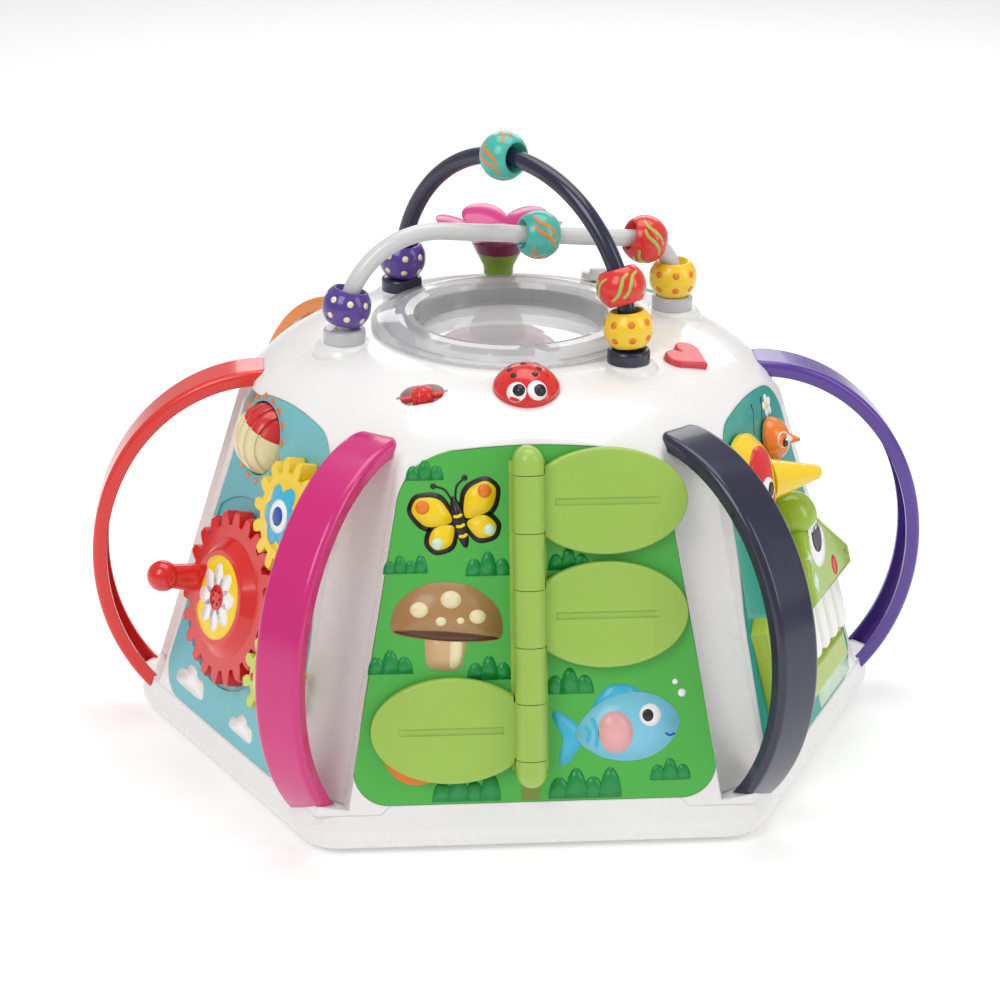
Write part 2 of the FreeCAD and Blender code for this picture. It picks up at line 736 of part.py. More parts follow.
def make_crocodile():
    half = CROC_HALF
    cheek = CROC_LOW + (CROC_BROW - CROC_LOW) * 0.45
    outline = [(-half, CROC_LOW), (half, CROC_LOW), (half, CROC_SNOUT), (0, CROC_BROW),
               (-half * 0.82, CROC_BROW), (-half, cheek)]
    head = softened(prism(outline, 0, CROC_T), CROC_EDGE_R, CROC_T)
    eye = Part.makeSphere(EYE_R, V(EYE_U, EYE_V, EYE_W))
    head = fused([head, eye]).common(box(-99, 0, 0, 99, 200, 99))
    reach = KEY_PITCH * KEY_COUNT / 2 + GAP
    head = moved(head, CROC_U).cut(box(KEYS_U - reach, CROC_LOW - 1, -1, KEYS_U + reach,
                                       KEY_TOP + GAP, KEY_H + GAP))
    save("crocodile_head", on_face(head, "right"))
    tail_in = TAIL_U + TAIL_W
    outline = [(TAIL_U, JAW_LOW), (JAW_END, JAW_LOW), (JAW_END, JAW_TOP), (tail_in + 8, JAW_TOP),
               (tail_in, JAW_TOP + 8), (tail_in, TAIL_TOP - 6), (TAIL_U + TAIL_W / 2, TAIL_TOP),
               (TAIL_U, TAIL_TOP - 6)]
    save("crocodile_jaw", on_face(softened(prism(outline, 0, JAW_T), 3.0, JAW_T), "right"))
    low = LIFT + KEY_TRAVEL
    middle_v = (KEY_LOW + CROC_LOW) / 2
    flange_top = -SHELL_WALL - GAP
    for k in range(KEY_COUNT):
        key = box(-KEY_W / 2, KEY_LOW + KEY_W / 2, low, KEY_W / 2, KEY_TOP, KEY_H)
        key = fused([key, disc(KEY_W / 2, low, KEY_H, 0, KEY_LOW + KEY_W / 2)])
        key = softened(key, KEY_EDGE_R, KEY_H)
        stem = box(-KEY_STEM_W / 2, middle_v - KEY_STEM_L / 2, flange_top - KEY_FLANGE_T,
                   KEY_STEM_W / 2, middle_v + KEY_STEM_L / 2, low + 1)
        reach_u = KEY_STEM_W / 2 + KEY_FLANGE
        flange = box(-reach_u, middle_v - KEY_STEM_L / 2, flange_top - KEY_FLANGE_T,
                     reach_u, middle_v + KEY_STEM_L / 2, flange_top)
        save("key_%d" % (k + 1), on_face(moved(fused([key, stem, flange]), key_centre(k)), "right"))


def right_face_holes():
    holes = [disc(SPINDLE_R + FIT, -9, 2, BIRD_U, BIRD_V), disc(SPINDLE_R + FIT, -9, 2, CHICK_U, CHICK_V)]
    middle_v = (KEY_LOW + CROC_LOW) / 2
    for k in range(KEY_COUNT):
        u = key_centre(k)
        holes.append(box(u - KEY_STEM_W / 2 - FIT, middle_v - KEY_STEM_L / 2 - FIT, -9,
                         u + KEY_STEM_W / 2 + FIT, middle_v + KEY_STEM_L / 2 + FIT, 2))
    return holes


# Leaves and their hinge

HINGE_W = BACKING_T + GAP + COLUMN_R


def column_gaps():
    """Lower and upper ends of the hinge column's fixed pieces."""
    half = KNUCKLE_L / 2 + GAP
    middles = sorted(LEAF_V.values())
    lows = [COLUMN_LOW] + [v + half for v in middles]
    highs = [v - half for v in middles] + [COLUMN_TOP]
    return list(zip(lows, highs))


def along_v(radius, low, high, w=0.0):
    return Part.makeCylinder(radius, high - low, V(0, low, w), V(0, 1, 0))


def make_column():
    strip = box(-COLUMN_R - 1.5, COLUMN_LOW + COLUMN_R, 0, COLUMN_R + 1.5, COLUMN_TOP - COLUMN_R, BACKING_T)
    pieces = [strip]
    for low, high in column_gaps():
        for end in (COLUMN_LOW, COLUMN_TOP):
            if end in (low, high):
                middle = end + (COLUMN_R if end == low else -COLUMN_R)
                low, high = max(low, COLUMN_LOW + COLUMN_R), min(high, COLUMN_TOP - COLUMN_R)
                pieces.append(Part.makeSphere(COLUMN_R, V(0, middle, HINGE_W)))
                pieces.append(disc(COLUMN_R, BACKING_T / 2, HINGE_W, 0, middle))
        pieces.append(box(-COLUMN_R, low, BACKING_T / 2, COLUMN_R, high, HINGE_W))
        pieces.append(along_v(COLUMN_R, low, high, HINGE_W))
    inner_low, inner_high = COLUMN_LOW + 3, COLUMN_TOP - 3
    column = fused(pieces).cut(along_v(PIN_R + FIT, inner_low, inner_high, HINGE_W))
    half = KNUCKLE_L / 2 + GAP
    for v in LEAF_V.values():
        column = column.cut(box(-2 * COLUMN_R, v - half, BACKING_T, 2 * COLUMN_R, v + half, 3 * COLUMN_R))
    save("hinge_column", on_face(moved(column, COLUMN_U), "front"))
    pin = along_v(PIN_R, inner_low + GAP, inner_high - GAP, HINGE_W)
    save("hinge_pin", on_face(moved(pin, COLUMN_U), "front"))


def make_leaves():
    low_w = BACKING_T + GAP
    for name, v in LEAF_V.items():
        side = LEAF_SIDE[name]
        plate = ellipse_prism(LEAF_A, LEAF_B, low_w, low_w + LEAF_T, x=LEAF_CENTRE)
        plate = softened(plate, LEAF_EDGE_R, low_w + LEAF_T)
        top_w = low_w + LEAF_T
        plate = plate.cut(box(0, -LEAF_GROOVE / 2, top_w - LEAF_GROOVE_T, LEAF_GROOVE_END, LEAF_GROOVE / 2,
                              top_w + 1))
        tip = box(0, -2 * LEAF_B, 0, 2 * LEAF_A, 2 * LEAF_B, LEAF_T)
        tip.rotate(V(0, 0, 0), V(0, 1, 0), LEAF_TIP_FALL)
        plate = plate.cut(moved(tip, LEAF_GROOVE_END - 4, 0, top_w))
        clear = COLUMN_R + 2 * GAP
        half = KNUCKLE_L / 2
        plate = plate.cut(box(-clear, -60, -1, clear, 60, 30))
        web = box(0, -half, low_w, clear + WEB_L, half, top_w)
        knuckle = along_v(COLUMN_R, -half, half, HINGE_W)
        knuckle = knuckle.cut(along_v(PIN_R + FIT, -half - 1, half + 1, HINGE_W))
        leaf = fused([plate, web.cut(along_v(COLUMN_R - 1, -half - 1, half + 1, HINGE_W)), knuckle])
        if side < 0:
            leaf.rotate(V(0, 0, 0), UP, 180)
        save(name, on_face(moved(leaf, COLUMN_U, v), "front"))


# Back activities


def hand(length, low):
    pointer = prism([(-HAND_W / 2, 0), (HAND_W / 2, 0), (HAND_W / 2, length - HAND_W), (0, length),
                     (-HAND_W / 2, length - HAND_W)], low, low + HAND_T)
    return fused([pointer, disc(HAND_HUB_R, low, low + HAND_T)])


def make_clock():
    minute_low = LIFT + HAND_T + GAP
    pin_top = minute_low + HAND_T
    hour = hand(HOUR_L, LIFT).cut(disc(HUB_PIN_R + FIT, 0, 20))
    hour.rotate(V(0, 0, 0), UP, 60)
    minute = fused([hand(MINUTE_L, minute_low), disc(HUB_PIN_R + 2, minute_low, pin_top + 3)])
    minute = minute.cut(disc(HUB_PIN_R + FIT, 0, pin_top + GAP))
    save("clock_hour_hand", on_face(moved(hour, 0, CLOCK_V), "back"))
    save("clock_minute_hand", on_face(moved(minute, 0, CLOCK_V), "back"))
    pin = disc(HUB_PIN_R, -PANEL_T, pin_top, 0, CLOCK_V)
    save("back_panel", on_face(fused([panel_plate("back"), pin]), "back"))


def make_slider():
    plate = panel_plate("back_left")
    slot = moved(stadium(SLOT_HALF, SLOT_W / 2, -9, 2), 0, SLOT_V)
    save("back_left_panel", on_face(plate.cut(slot), "back_left"))
    flange_top = -PANEL_T - GAP
    knob = fused([disc(SLOT_W / 2 - FIT, flange_top - KNOB_FLANGE_T, LIFT + 1),
                  disc(KNOB_FLANGE_R, flange_top - KNOB_FLANGE_T, flange_top),
                  disc(KNOB_R, LIFT, LIFT + 4), moved(cap(KNOB_R, KNOB_H - 4), z=LIFT + 4)])
    save("slider_knob", on_face(moved(knob, 0, SLOT_V), "back_left"))


def make_spinner():
    pin_top = LIFT + SPINNER_HUB_H - 3
    pin = disc(HUB_PIN_R, -PANEL_T, pin_top, 0, SPINNER_V)
    save("back_right_panel", on_face(fused([panel_plate("back_right"), pin]), "back_right"))
    pieces = [disc(SPINNER_HUB_R, LIFT, LIFT + SPINNER_HUB_H)]
    for k in range(BLADES):
        blade = ellipse_prism(BLADE_A, BLADE_B, LIFT + 2, LIFT + 2 + SPINNER_T, x=SPINNER_R - BLADE_A)
        blade.rotate(V(0, 0, 0), UP, 360 * k / BLADES)
        pieces.append(blade)
    spinner = fused(pieces).cut(disc(HUB_PIN_R + FIT, 0, pin_top + GAP))
    save("spinner", on_face(moved(spinner, 0, SPINNER_V), "back_right"))


# Handles


def handle_oval(inset):
    """Face inside the strap's outer curve, shrunk by inset, in the handle's plane."""
    middle = V(HANDLE_CENTRE_R, HANDLE_CENTRE_Z, 0)
    curve = Part.Ellipse(V(HANDLE_CENTRE_R, HANDLE_CENTRE_Z + HANDLE_B - inset, 0),
                         V(HANDLE_CENTRE_R + HANDLE_A - inset, HANDLE_CENTRE_Z, 0), middle)
    return Part.Face(Part.Wire([curve.toShape()]))


def strap(outer, inner, half):
    """Bent strap between two insets from the outer curve, with that half width."""
    ring = handle_oval(outer).cut(handle_oval(inner))
    solid = moved(ring, z=-half).extrude(V(0, 0, 2 * half))
    reach = HANDLE_END_R + outer
    limit = box(reach, HANDLE_FOOT_Z, -half, 2 * SIDE_APOTHEM, 2 * SIDE_APOTHEM, half)
    corners = [e for e in limit.Edges if e.Length > SIDE_APOTHEM and abs(e.CenterOfMass.x - reach) < 0.01
               and abs(e.CenterOfMass.z) > half / 2 and abs(e.CenterOfMass.y - HANDLE_FOOT_Z) > 1]
    return solid.common(limit.makeFillet(HANDLE_TONGUE_R - outer, corners))


def on_outer_curve(edge):
    """True for the long edges of the strap's outer side."""
    point = edge.valueAt(sum(edge.ParameterRange) / 2)
    across = (point.x - HANDLE_CENTRE_R) / HANDLE_A
    up = (point.y - HANDLE_CENTRE_Z) / HANDLE_B
    return abs(math.hypot(across, up) - 1) < 0.001 and edge.Length > HANDLE_W * 2


def make_handles(body):
    solid = strap(0.0, HANDLE_T, HANDLE_W / 2)
    solid = solid.makeFillet(HANDLE_EDGE_R, [e for e in solid.Edges if on_outer_curve(e)])
    solid = solid.cut(strap(HANDLE_WALL, HANDLE_T + 1, HANDLE_W / 2 - HANDLE_WALL))
    for name, angle in HANDLE_ANGLES.items():
        placed = solid.copy()
        placed.Placement = handle_frame(angle)
        save(name, placed.cut(body))


# Roof pieces


def make_drum():
    low = DRUM_LOW_Z
    inner_skirt = DRUM_SKIRT_R - DRUM_SKIRT_T
    ledge = DRUM_INNER_R + DRUM_LIP
    ring = turned([(DRUM_INNER_R, DRUM_DISC_Z), (DRUM_INNER_R, DRUM_CREST_Z - 4),
                   (DRUM_INNER_R + 2, DRUM_CREST_Z - 1.2), (DRUM_CREST_R - 1, DRUM_CREST_Z),
                   (DRUM_CREST_R + 4, DRUM_CREST_Z - 0.3), (DRUM_R - 3, low + 2.4), (DRUM_R, low + 0.8),
                   (DRUM_R, low), (DRUM_SKIRT_R, low), (DRUM_SKIRT_R, DRUM_SKIRT_Z),
                   (inner_skirt, DRUM_SKIRT_Z), (inner_skirt, low), (ledge, low), (ledge, DRUM_DISC_Z)])
    save("drum_ring", ring)
    save("drum_disc", disc(ledge, DRUM_DISC_Z - DRUM_DISC_T, DRUM_DISC_Z))


def make_flower():
    stem_low = roof_z(0, FLOWER_Y)
    pin_r = FLOWER_STEM_R - 2
    lip_top = stem_low - SHELL_WALL - 2.5
    stem = turned([(0, lip_top - 2), (pin_r + 1.5, lip_top - 2), (pin_r + 1.5, lip_top), (pin_r, lip_top),
                   (pin_r, stem_low + LIFT + 0.6), (FLOWER_STEM_R, stem_low + LIFT + 0.6),
                   (FLOWER_STEM_R + 0.4, stem_low + 6), (FLOWER_NECK_R, FLOWER_NECK_Z), (0, FLOWER_NECK_Z)])
    save("flower_stem", moved(stem, y=FLOWER_Y))
    neck_r = FLOWER_NECK_R
    cup = turned([(0, FLOWER_NECK_Z), (neck_r, FLOWER_NECK_Z), (neck_r + 3, FLOWER_CUP_Z),
                  (neck_r + 2.6, FLOWER_CUP_Z + 3), (0, FLOWER_CUP_Z + 3)])
    pieces = [cup, moved(cap(neck_r + 1.5, 5.0), z=FLOWER_CUP_Z + 3)]
    for k in range(PETALS):
        half = cap(PETAL_W / 2, PETAL_T / 2)
        other = half.copy()
        other.rotate(V(0, 0, 0), V(1, 0, 0), 180)
        petal = half.fuse(other)
        petal.rotate(V(0, 0, 0), V(0, 1, 0), -PETAL_TILT)
        reach = FLOWER_R - PETAL_W / 2 * math.cos(rad(PETAL_TILT))
        petal.translate(V(reach, 0, FLOWER_CUP_Z + PETAL_RISE))
        petal.rotate(V(0, 0, 0), UP, PETAL_TURN + 360 * k / PETALS)
        pieces.append(petal)
    save("flower_head", moved(fused(pieces), y=FLOWER_Y))


def heart_face(grow):
    """Heart outline, its point down the roof's slope, grown all round."""
    r = HEART_SIZE * 0.53
    reach = HEART_SIZE - r
    turn = rad(45)
    corner = V(-0.15 * r - reach * 0.3, 0, 0)
    tip = V(HEART_SIZE, 0, 0)
    right = V(-reach * 0.3, r, 0)
    left = V(-reach * 0.3, -r, 0)
    out_r = right + V(math.sin(turn), math.cos(turn), 0) * r
    out_l = left + V(math.sin(turn), -math.cos(turn), 0) * r
    edges = [Part.Arc(corner, right + V(-r, 0, 0), out_r).toShape(), Part.makeLine(out_r, tip),
             Part.makeLine(tip, out_l), Part.Arc(out_l, left + V(-r, 0, 0), corner).toShape()]
    face = Part.Face(Part.Wire(edges))
    return face.makeOffset2D(grow) if grow else face


def make_buttons():
    flange_top = -SHELL_WALL - 2.6
    body = disc(LADYBIRD_R, flange_top - FLANGE_T, BUTTON_TRAVEL)
    body = fused([body, moved(cap(LADYBIRD_R, LADYBIRD_H - BUTTON_TRAVEL), z=BUTTON_TRAVEL),
                  disc(LADYBIRD_R + FLANGE, flange_top - FLANGE_T, flange_top)])
    save("ladybird_button", on_roof_at(body, -LADYBIRD_Y, -90.0))
    heart = heart_face(0).extrude(V(0, 0, HEART_RISE - flange_top + FLANGE_T))
    heart = softened(moved(heart, z=flange_top - FLANGE_T), 1.2, HEART_RISE)
    flange = moved(heart_face(FLANGE).extrude(V(0, 0, FLANGE_T)), z=flange_top - FLANGE_T)
    save("heart_button", on_roof_at(fused([heart, flange]), HEART_R, HEART_ANGLE))


def roller_frame():
    """Roller's frame: x along its axis, z away from the roof."""
    tilt = roof_frame(ROLLER_DIST, ROLLER_ANGLE)
    normal = tilt.Rotation.multVec(UP)
    along = V(1, 0, 0) - normal * normal.x
    along.normalize()
    return frame(tilt.Base, along, normal.cross(along), normal)


def make_roller():
    roller = Part.makeSphere(ROLLER_R).common(box(-ROLLER_HALF_L, -20, -20, ROLLER_HALF_L, 20, 20))
    for k in range(ROLLER_GROOVES):
        x = (k - (ROLLER_GROOVES - 1) / 2) * 2 * ROLLER_HALF_L / (ROLLER_GROOVES + 1)
        ring_r = math.sqrt(ROLLER_R ** 2 - x ** 2)
        roller = roller.cut(Part.makeTorus(ring_r, ROLLER_GROOVE_R, V(x, 0, 0), V(1, 0, 0)))
    reach = CUP_HALF_L + CUP_WALL * 0.7
    roller = roller.fuse(Part.makeCylinder(ROLLER_PIN_R, 2 * reach, V(-reach, 0, 0), V(1, 0, 0)))
    roller = moved(roller, z=-ROLLER_SINK)
    roller.Placement = roller_frame().multiply(roller.Placement)
    save("ribbed_roller", roller)


def make_switch():
    flange_top = -SHELL_WALL - 1.0
    knob = fused([disc(SWITCH_R, LIFT, 4.0), moved(stadium(SWITCH_R - 1, 2.2, 3.5, 6.8)),
                  disc(SPINDLE_R - 1, flange_top - 2, 2), disc(SPINDLE_R, flange_top - 2, flange_top)])
    save("switch_knob", on_roof_at(knob, math.hypot(SWITCH_X, SWITCH_Y), SWITCH_ANGLE))


# Bead wires


def wire_plane(angle):
    """Frame of an upright plane through the body's middle: x outward, y up."""
    out = around(1.0, angle)
    return frame(V(0, 0, 0), out, UP, V(out.y, -out.x, 0))


def bent(radius, centre, start, turn):
    """Round bar bent about a centre in the xy plane."""
    arc = Part.makeTorus(radius, WIRE_R, V(0, 0, 0), UP, -180, 180, turn)
    arc.rotate(V(0, 0, 0), UP, start)
    return moved(arc, centre[0], centre[1])


def leg(x, high):
    return Part.makeCylinder(WIRE_R, high - SOCKET_Z, V(x, SOCKET_Z, 0), V(0, 1, 0))


FALL = rad(GREY_FALL)
GREY_ARC_X = GREY_LEG_R - GREY_R
GREY_END_X = GREY_R - GREY_END_R
GREY_RUN_START = V(GREY_ARC_X + GREY_LEG_R * math.sin(FALL), WIRE_FOOT_Z + GREY_LEG_R * math.cos(FALL), 0)
GREY_RUN_L = (GREY_END_X + GREY_END_R * math.sin(FALL) - GREY_RUN_START.x) / math.cos(FALL)
GREY_RUN_DIR = V(math.cos(FALL), -math.sin(FALL), 0)
GREY_END_Z = (GREY_RUN_START + GREY_RUN_DIR * GREY_RUN_L).y - GREY_END_R * math.cos(FALL)


def in_plane(shape, angle):
    placed = shape.copy()
    placed.Placement = wire_plane(angle).multiply(placed.Placement)
    return placed


def make_wires():
    navy = fused([leg(-NAVY_R, WIRE_FOOT_Z), bent(ARCH_R, (0, WIRE_FOOT_Z), 0, 180), leg(NAVY_R, WIRE_FOOT_Z)])
    save("navy_wire", in_plane(navy, NAVY_ANGLE))
    run = Part.makeCylinder(WIRE_R, GREY_RUN_L, GREY_RUN_START, GREY_RUN_DIR)
    grey = fused([leg(-GREY_R, WIRE_FOOT_Z),
                  bent(GREY_LEG_R, (GREY_ARC_X, WIRE_FOOT_Z), 90 - GREY_FALL, 90 + GREY_FALL), run,
                  bent(GREY_END_R, (GREY_END_X, GREY_END_Z), 0, 90 - GREY_FALL), leg(GREY_R, GREY_END_Z)])
    save("grey_wire", in_plane(grey, GREY_ANGLE))
    collars = []
    for x, angle in wire_feet():
        collar = disc(COLLAR_R, COLLAR_Z, COLLAR_Z + COLLAR_H)
        collar = softened(collar, 2.0, COLLAR_Z + COLLAR_H)
        collar = moved(collar.cut(disc(WIRE_R + FIT, COLLAR_Z - 1, COLLAR_Z + COLLAR_H + 1)), x=x)
        collar.rotate(V(0, 0, 0), UP, angle)
        collars.append(collar.cut(disc(DRUM_R + 2 * GAP, COLLAR_Z - 1, COLLAR_Z + COLLAR_H + 1)))
    save("wire_collars", Part.makeCompound(collars))


def wire_feet():
    return [(side * reach, angle) for reach, angle in ((NAVY_R, NAVY_ANGLE), (GREY_R, GREY_ANGLE))
            for side in (-1, 1)]


def bead():
    """Bead with its bore along y, flared to both ends so it can ride round a bend."""
    ball = Part.makeSphere(BEAD_R).common(box(-20, -BEAD_L / 2, -20, 20, BEAD_L / 2, 20))
    land_r = WIRE_R + BEAD_PLAY
    half, land = BEAD_L / 2, BEAD_LAND / 2
    bore = turned([(0, -half - 1), (BEAD_MOUTH_R, -half - 1), (BEAD_MOUTH_R, -half), (land_r, -land),
                   (land_r, land), (BEAD_MOUTH_R, half), (BEAD_MOUTH_R, half + 1), (0, half + 1)])
    bore.rotate(V(0, 0, 0), V(1, 0, 0), 90)
    return ball.cut(bore)


def bead_on_arc(centre, radius, turn):
    """Bead on a bend, turn degrees round from the x direction."""
    placed = bead()
    placed.rotate(V(0, 0, 0), V(0, 0, 1), turn)
    at = around(radius, turn)
    return moved(placed, centre[0] + at.x, centre[1] + at.y)


def make_beads():
    for name, turn in NAVY_BEADS.items():
        save(name, in_plane(bead_on_arc((0, WIRE_FOOT_Z), ARCH_R, turn), NAVY_ANGLE))
    purple = bead_on_arc((GREY_ARC_X, WIRE_FOOT_Z), GREY_LEG_R, 180 - GREY_BEAD_PURPLE)
    save("grey_bead_purple", in_plane(purple, GREY_ANGLE))
    teal = bead()
    teal.rotate(V(0, 0, 0), V(0, 0, 1), -90 - GREY_FALL)
    at = GREY_RUN_START + GREY_RUN_DIR * GREY_BEAD_TEAL
    save("grey_bead_teal", in_plane(moved(teal, at.x, at.y), GREY_ANGLE))
    red = bead_on_arc((GREY_END_X, GREY_END_Z), GREY_END_R, GREY_BEAD_RED)
    save("grey_bead_red", in_plane(red, GREY_ANGLE))
    save("grey_bead_yellow", in_plane(moved(bead(), GREY_R, GREY_BEAD_YELLOW_Z), GREY_ANGLE))


# Housing, tray and the pieces inside


def sill(w_low, w_high):
    """Raised middle of the tray's front or back edge, in the face's own frame."""
    top = FRONT_PANEL_LOW - PANEL_GAP
    rise = top - SEAM_Z + 2
    outline = [(-SILL_HALF - rise, top - rise), (SILL_HALF + rise, top - rise), (SILL_HALF, top),
               (-SILL_HALF, top)]
    return prism(outline, w_low, w_high)


def boss():
    """Round mound under a wire's collar."""
    low, rise = COLLAR_Z - BOSS_H, math.sqrt(0.5)
    step = BOSS_R - BOSS_TOP_R
    arc = Part.Arc(V(BOSS_R, 0, low), V(BOSS_TOP_R + step * rise, 0, low + BOSS_H * rise),
                   V(BOSS_TOP_R, 0, COLLAR_Z)).toShape()
    sides = Part.makePolygon([V(BOSS_TOP_R, 0, COLLAR_Z), V(0, 0, COLLAR_Z), V(0, 0, low), V(BOSS_R, 0, low)])
    return Part.Face(Part.Wire([arc] + sides.Edges)).revolve(V(0, 0, 0), UP, 360)


def screw_posts(z_low, z_high, radius):
    return [disc(radius, z_low, z_high, *around(SCREW_DIST, azimuth)[:2]) for azimuth, _ in FACES.values()]


def make_shell(block):
    walls = block.cut(housing_block(SHELL_WALL))
    inner_roof = DOME_Z - SHELL_WALL
    well_r = DRUM_SKIRT_R + FIT
    adds = [disc(well_r + WELL_WALL, WELL_FLOOR_Z - WELL_WALL, inner_roof + 1)]
    for x, angle in wire_feet():
        at = around(x, angle)
        adds.append(disc(WIRE_R + 3.5, SOCKET_Z - 3, inner_roof, at.x, at.y))
        adds.append(moved(boss(), at.x, at.y))
    cup = stadium(CUP_HALF_L + CUP_WALL, CUP_HALF_W + CUP_WALL, -ROLLER_SINK - ROLLER_R - 3, -1)
    cup.Placement = roller_frame().multiply(cup.Placement)
    adds.append(cup)
    for azimuth, apothem in FACES.values():
        at = around(SCREW_DIST, azimuth)
        rib = box(SCREW_DIST, -POST_R * 0.6, SEAM_Z, apothem, POST_R * 0.6, POST_TOP)
        rib.rotate(V(0, 0, 0), UP, azimuth)
        adds.append(disc(POST_R, SEAM_Z, POST_TOP, at.x, at.y).fuse(rib.common(block)))
    for at in board_corners():
        adds.append(disc(BOARD_POST_R, BOARD_Z, WELL_FLOOR_Z - 1, at[0], at[1]))
    shell = walls.multiFuse(adds)
    cuts = [disc(well_r, WELL_FLOOR_Z, DOME_Z + 2)]
    for x, angle in wire_feet():
        at = around(x, angle)
        cuts.append(disc(WIRE_R + FIT, SOCKET_Z, DOME_Z + 2, at.x, at.y))
    for at in [around(SCREW_DIST, azimuth) for azimuth, _ in FACES.values()]:
        cuts.append(disc(SCREW_R + FIT, SEAM_Z - 1, POST_TOP - 4, at.x, at.y))
    cuts += [on_face(panel_pocket(name), name) for name in FACES]
    cuts += [on_face(sill(-PANEL_T * 4, 9), name) for name in ("front", "back")]
    cuts.append(on_face(box(BALL_U - 24, BALL_V - BALL_R - 0.6, -12, BALL_U + 24, BALL_V + BALL_R + 0.6, 1),
                        "left"))
    cuts += [on_face(disc(AXLE_R + FIT, -9, 1, u, v), "left") for u, v in GEAR_AT.values()]
    cuts += [on_face(hole, "right") for hole in right_face_holes()]
    cuts.append(on_face(moved(stadium(SLOT_HALF + KNOB_FLANGE_R, KNOB_FLANGE_R + 1, -9, 1), 0, SLOT_V),
                        "back_left"))
    for name, v in (("back", CLOCK_V), ("back_right", SPINNER_V)):
        cuts.append(on_face(disc(HUB_PIN_R + FIT, -PANEL_T - 1, 1, 0, v), name))
    cuts.append(disc(FLOWER_STEM_R - 2 + FIT, SOCKET_Z, DOME_Z + 2, 0, FLOWER_Y))
    cuts.append(on_roof_at(disc(LADYBIRD_R + FIT, -12, 9), -LADYBIRD_Y, -90.0))
    cuts.append(on_roof_at(moved(heart_face(FIT).extrude(V(0, 0, 20)), z=-12), HEART_R, HEART_ANGLE))
    cuts.append(on_roof_at(disc(SPINDLE_R - 1 + FIT, -12, 9), math.hypot(SWITCH_X, SWITCH_Y), SWITCH_ANGLE))
    hollow = stadium(CUP_HALF_L, CUP_HALF_W, -ROLLER_SINK - ROLLER_R - 1, 9)
    bore_l = CUP_HALF_L + CUP_WALL * 0.8
    bore = Part.makeCylinder(ROLLER_PIN_R + FIT, 2 * bore_l, V(-bore_l, 0, -ROLLER_SINK), V(1, 0, 0))
    for shape in (hollow, bore):
        shape.Placement = roller_frame().multiply(shape.Placement)
        cuts.append(shape)
    for cutter in cuts:
        shell = shell.cut(cutter)
    save("upper_shell", shell)


def tray_block(inset, z_low, z_high):
    """Tray's outer form, or its hollow where inset is the wall."""
    block = hull(inset, z_low, z_high, CORNER_R - inset)
    foot = [e for e in block.Edges if all(abs(p.z - z_low) < 0.01 for p in e.discretize(4))]
    return block.makeFillet(TRAY_EDGE_R - inset, foot)


def make_tray(block):
    floor = TRAY_Z + FLOOR_T
    tray = block.cut(tray_block(TRAY_WALL, floor, SEAM_Z + 1))
    bay_l, bay_w = DOOR_L / 2 - DOOR_LIP, DOOR_W / 2 - DOOR_LIP
    wall = 2.0
    adds = [box(-DOOR_L / 2 - wall, DOOR_Y - DOOR_W / 2 - wall, TRAY_Z + 1,
                DOOR_L / 2 + wall, DOOR_Y + DOOR_W / 2 + wall, floor + DOOR_T),
            box(-bay_l - wall, DOOR_Y - bay_w - wall, TRAY_Z + 1, bay_l + wall, DOOR_Y + bay_w + wall,
                TRAY_Z + BAY_H + wall)]
    adds += screw_posts(TRAY_Z + 1, SEAM_Z, POST_R)
    for name in ("front", "back"):
        raised = hull(0, SEAM_Z, SEAM_Z + 20, 0).cut(hull(SHELL_WALL, SEAM_Z - 1, SEAM_Z + 21, 0))
        adds.append(raised.common(on_face(sill(-PANEL_T * 4, 9), name)))
    adds.append(disc(SPEAKER_R + 2, floor - 1, floor + 4, 0, SPEAKER_Y))
    tray = tray.multiFuse(adds)
    cuts = [box(-DOOR_L / 2 - PANEL_GAP, DOOR_Y - DOOR_W / 2 - PANEL_GAP, 0,
                DOOR_L / 2 + PANEL_GAP, DOOR_Y + DOOR_W / 2 + PANEL_GAP, TRAY_Z + DOOR_T),
            box(-bay_l, DOOR_Y - bay_w, 0, bay_l, DOOR_Y + bay_w, TRAY_Z + BAY_H),
            disc(SPEAKER_R, floor, floor + 9, 0, SPEAKER_Y)]
    for azimuth, _ in FACES.values():
        at = around(SCREW_DIST, azimuth)
        cuts.append(disc(SCREW_HEAD_R + GAP, 0, SCREW_SEAT_Z, at.x, at.y))
        cuts.append(disc(SCREW_R + FIT, 0, SEAM_Z + 1, at.x, at.y))
    for angle in HANDLE_ANGLES.values():
        at = around(FOOT_DIST, angle)
        cuts.append(disc(FOOT_R, 0, FOOT_T, at.x, at.y))
    for ring, count in ((0.0, 1), (7.0, 6), (14.0, 12)):
        for k in range(count):
            at = around(ring, 360.0 * k / count)
            cuts.append(disc(GRILLE_R, 0, floor + 1, at.x, SPEAKER_Y + at.y))
    save("base_tray", tray.cut(cuts))


def board_corners():
    half_l, half_w = BOARD[0] / 2 - 5, BOARD[1] / 2 - 5
    return [(x, y) for x in (-half_l, half_l) for y in (-half_w, half_w)]


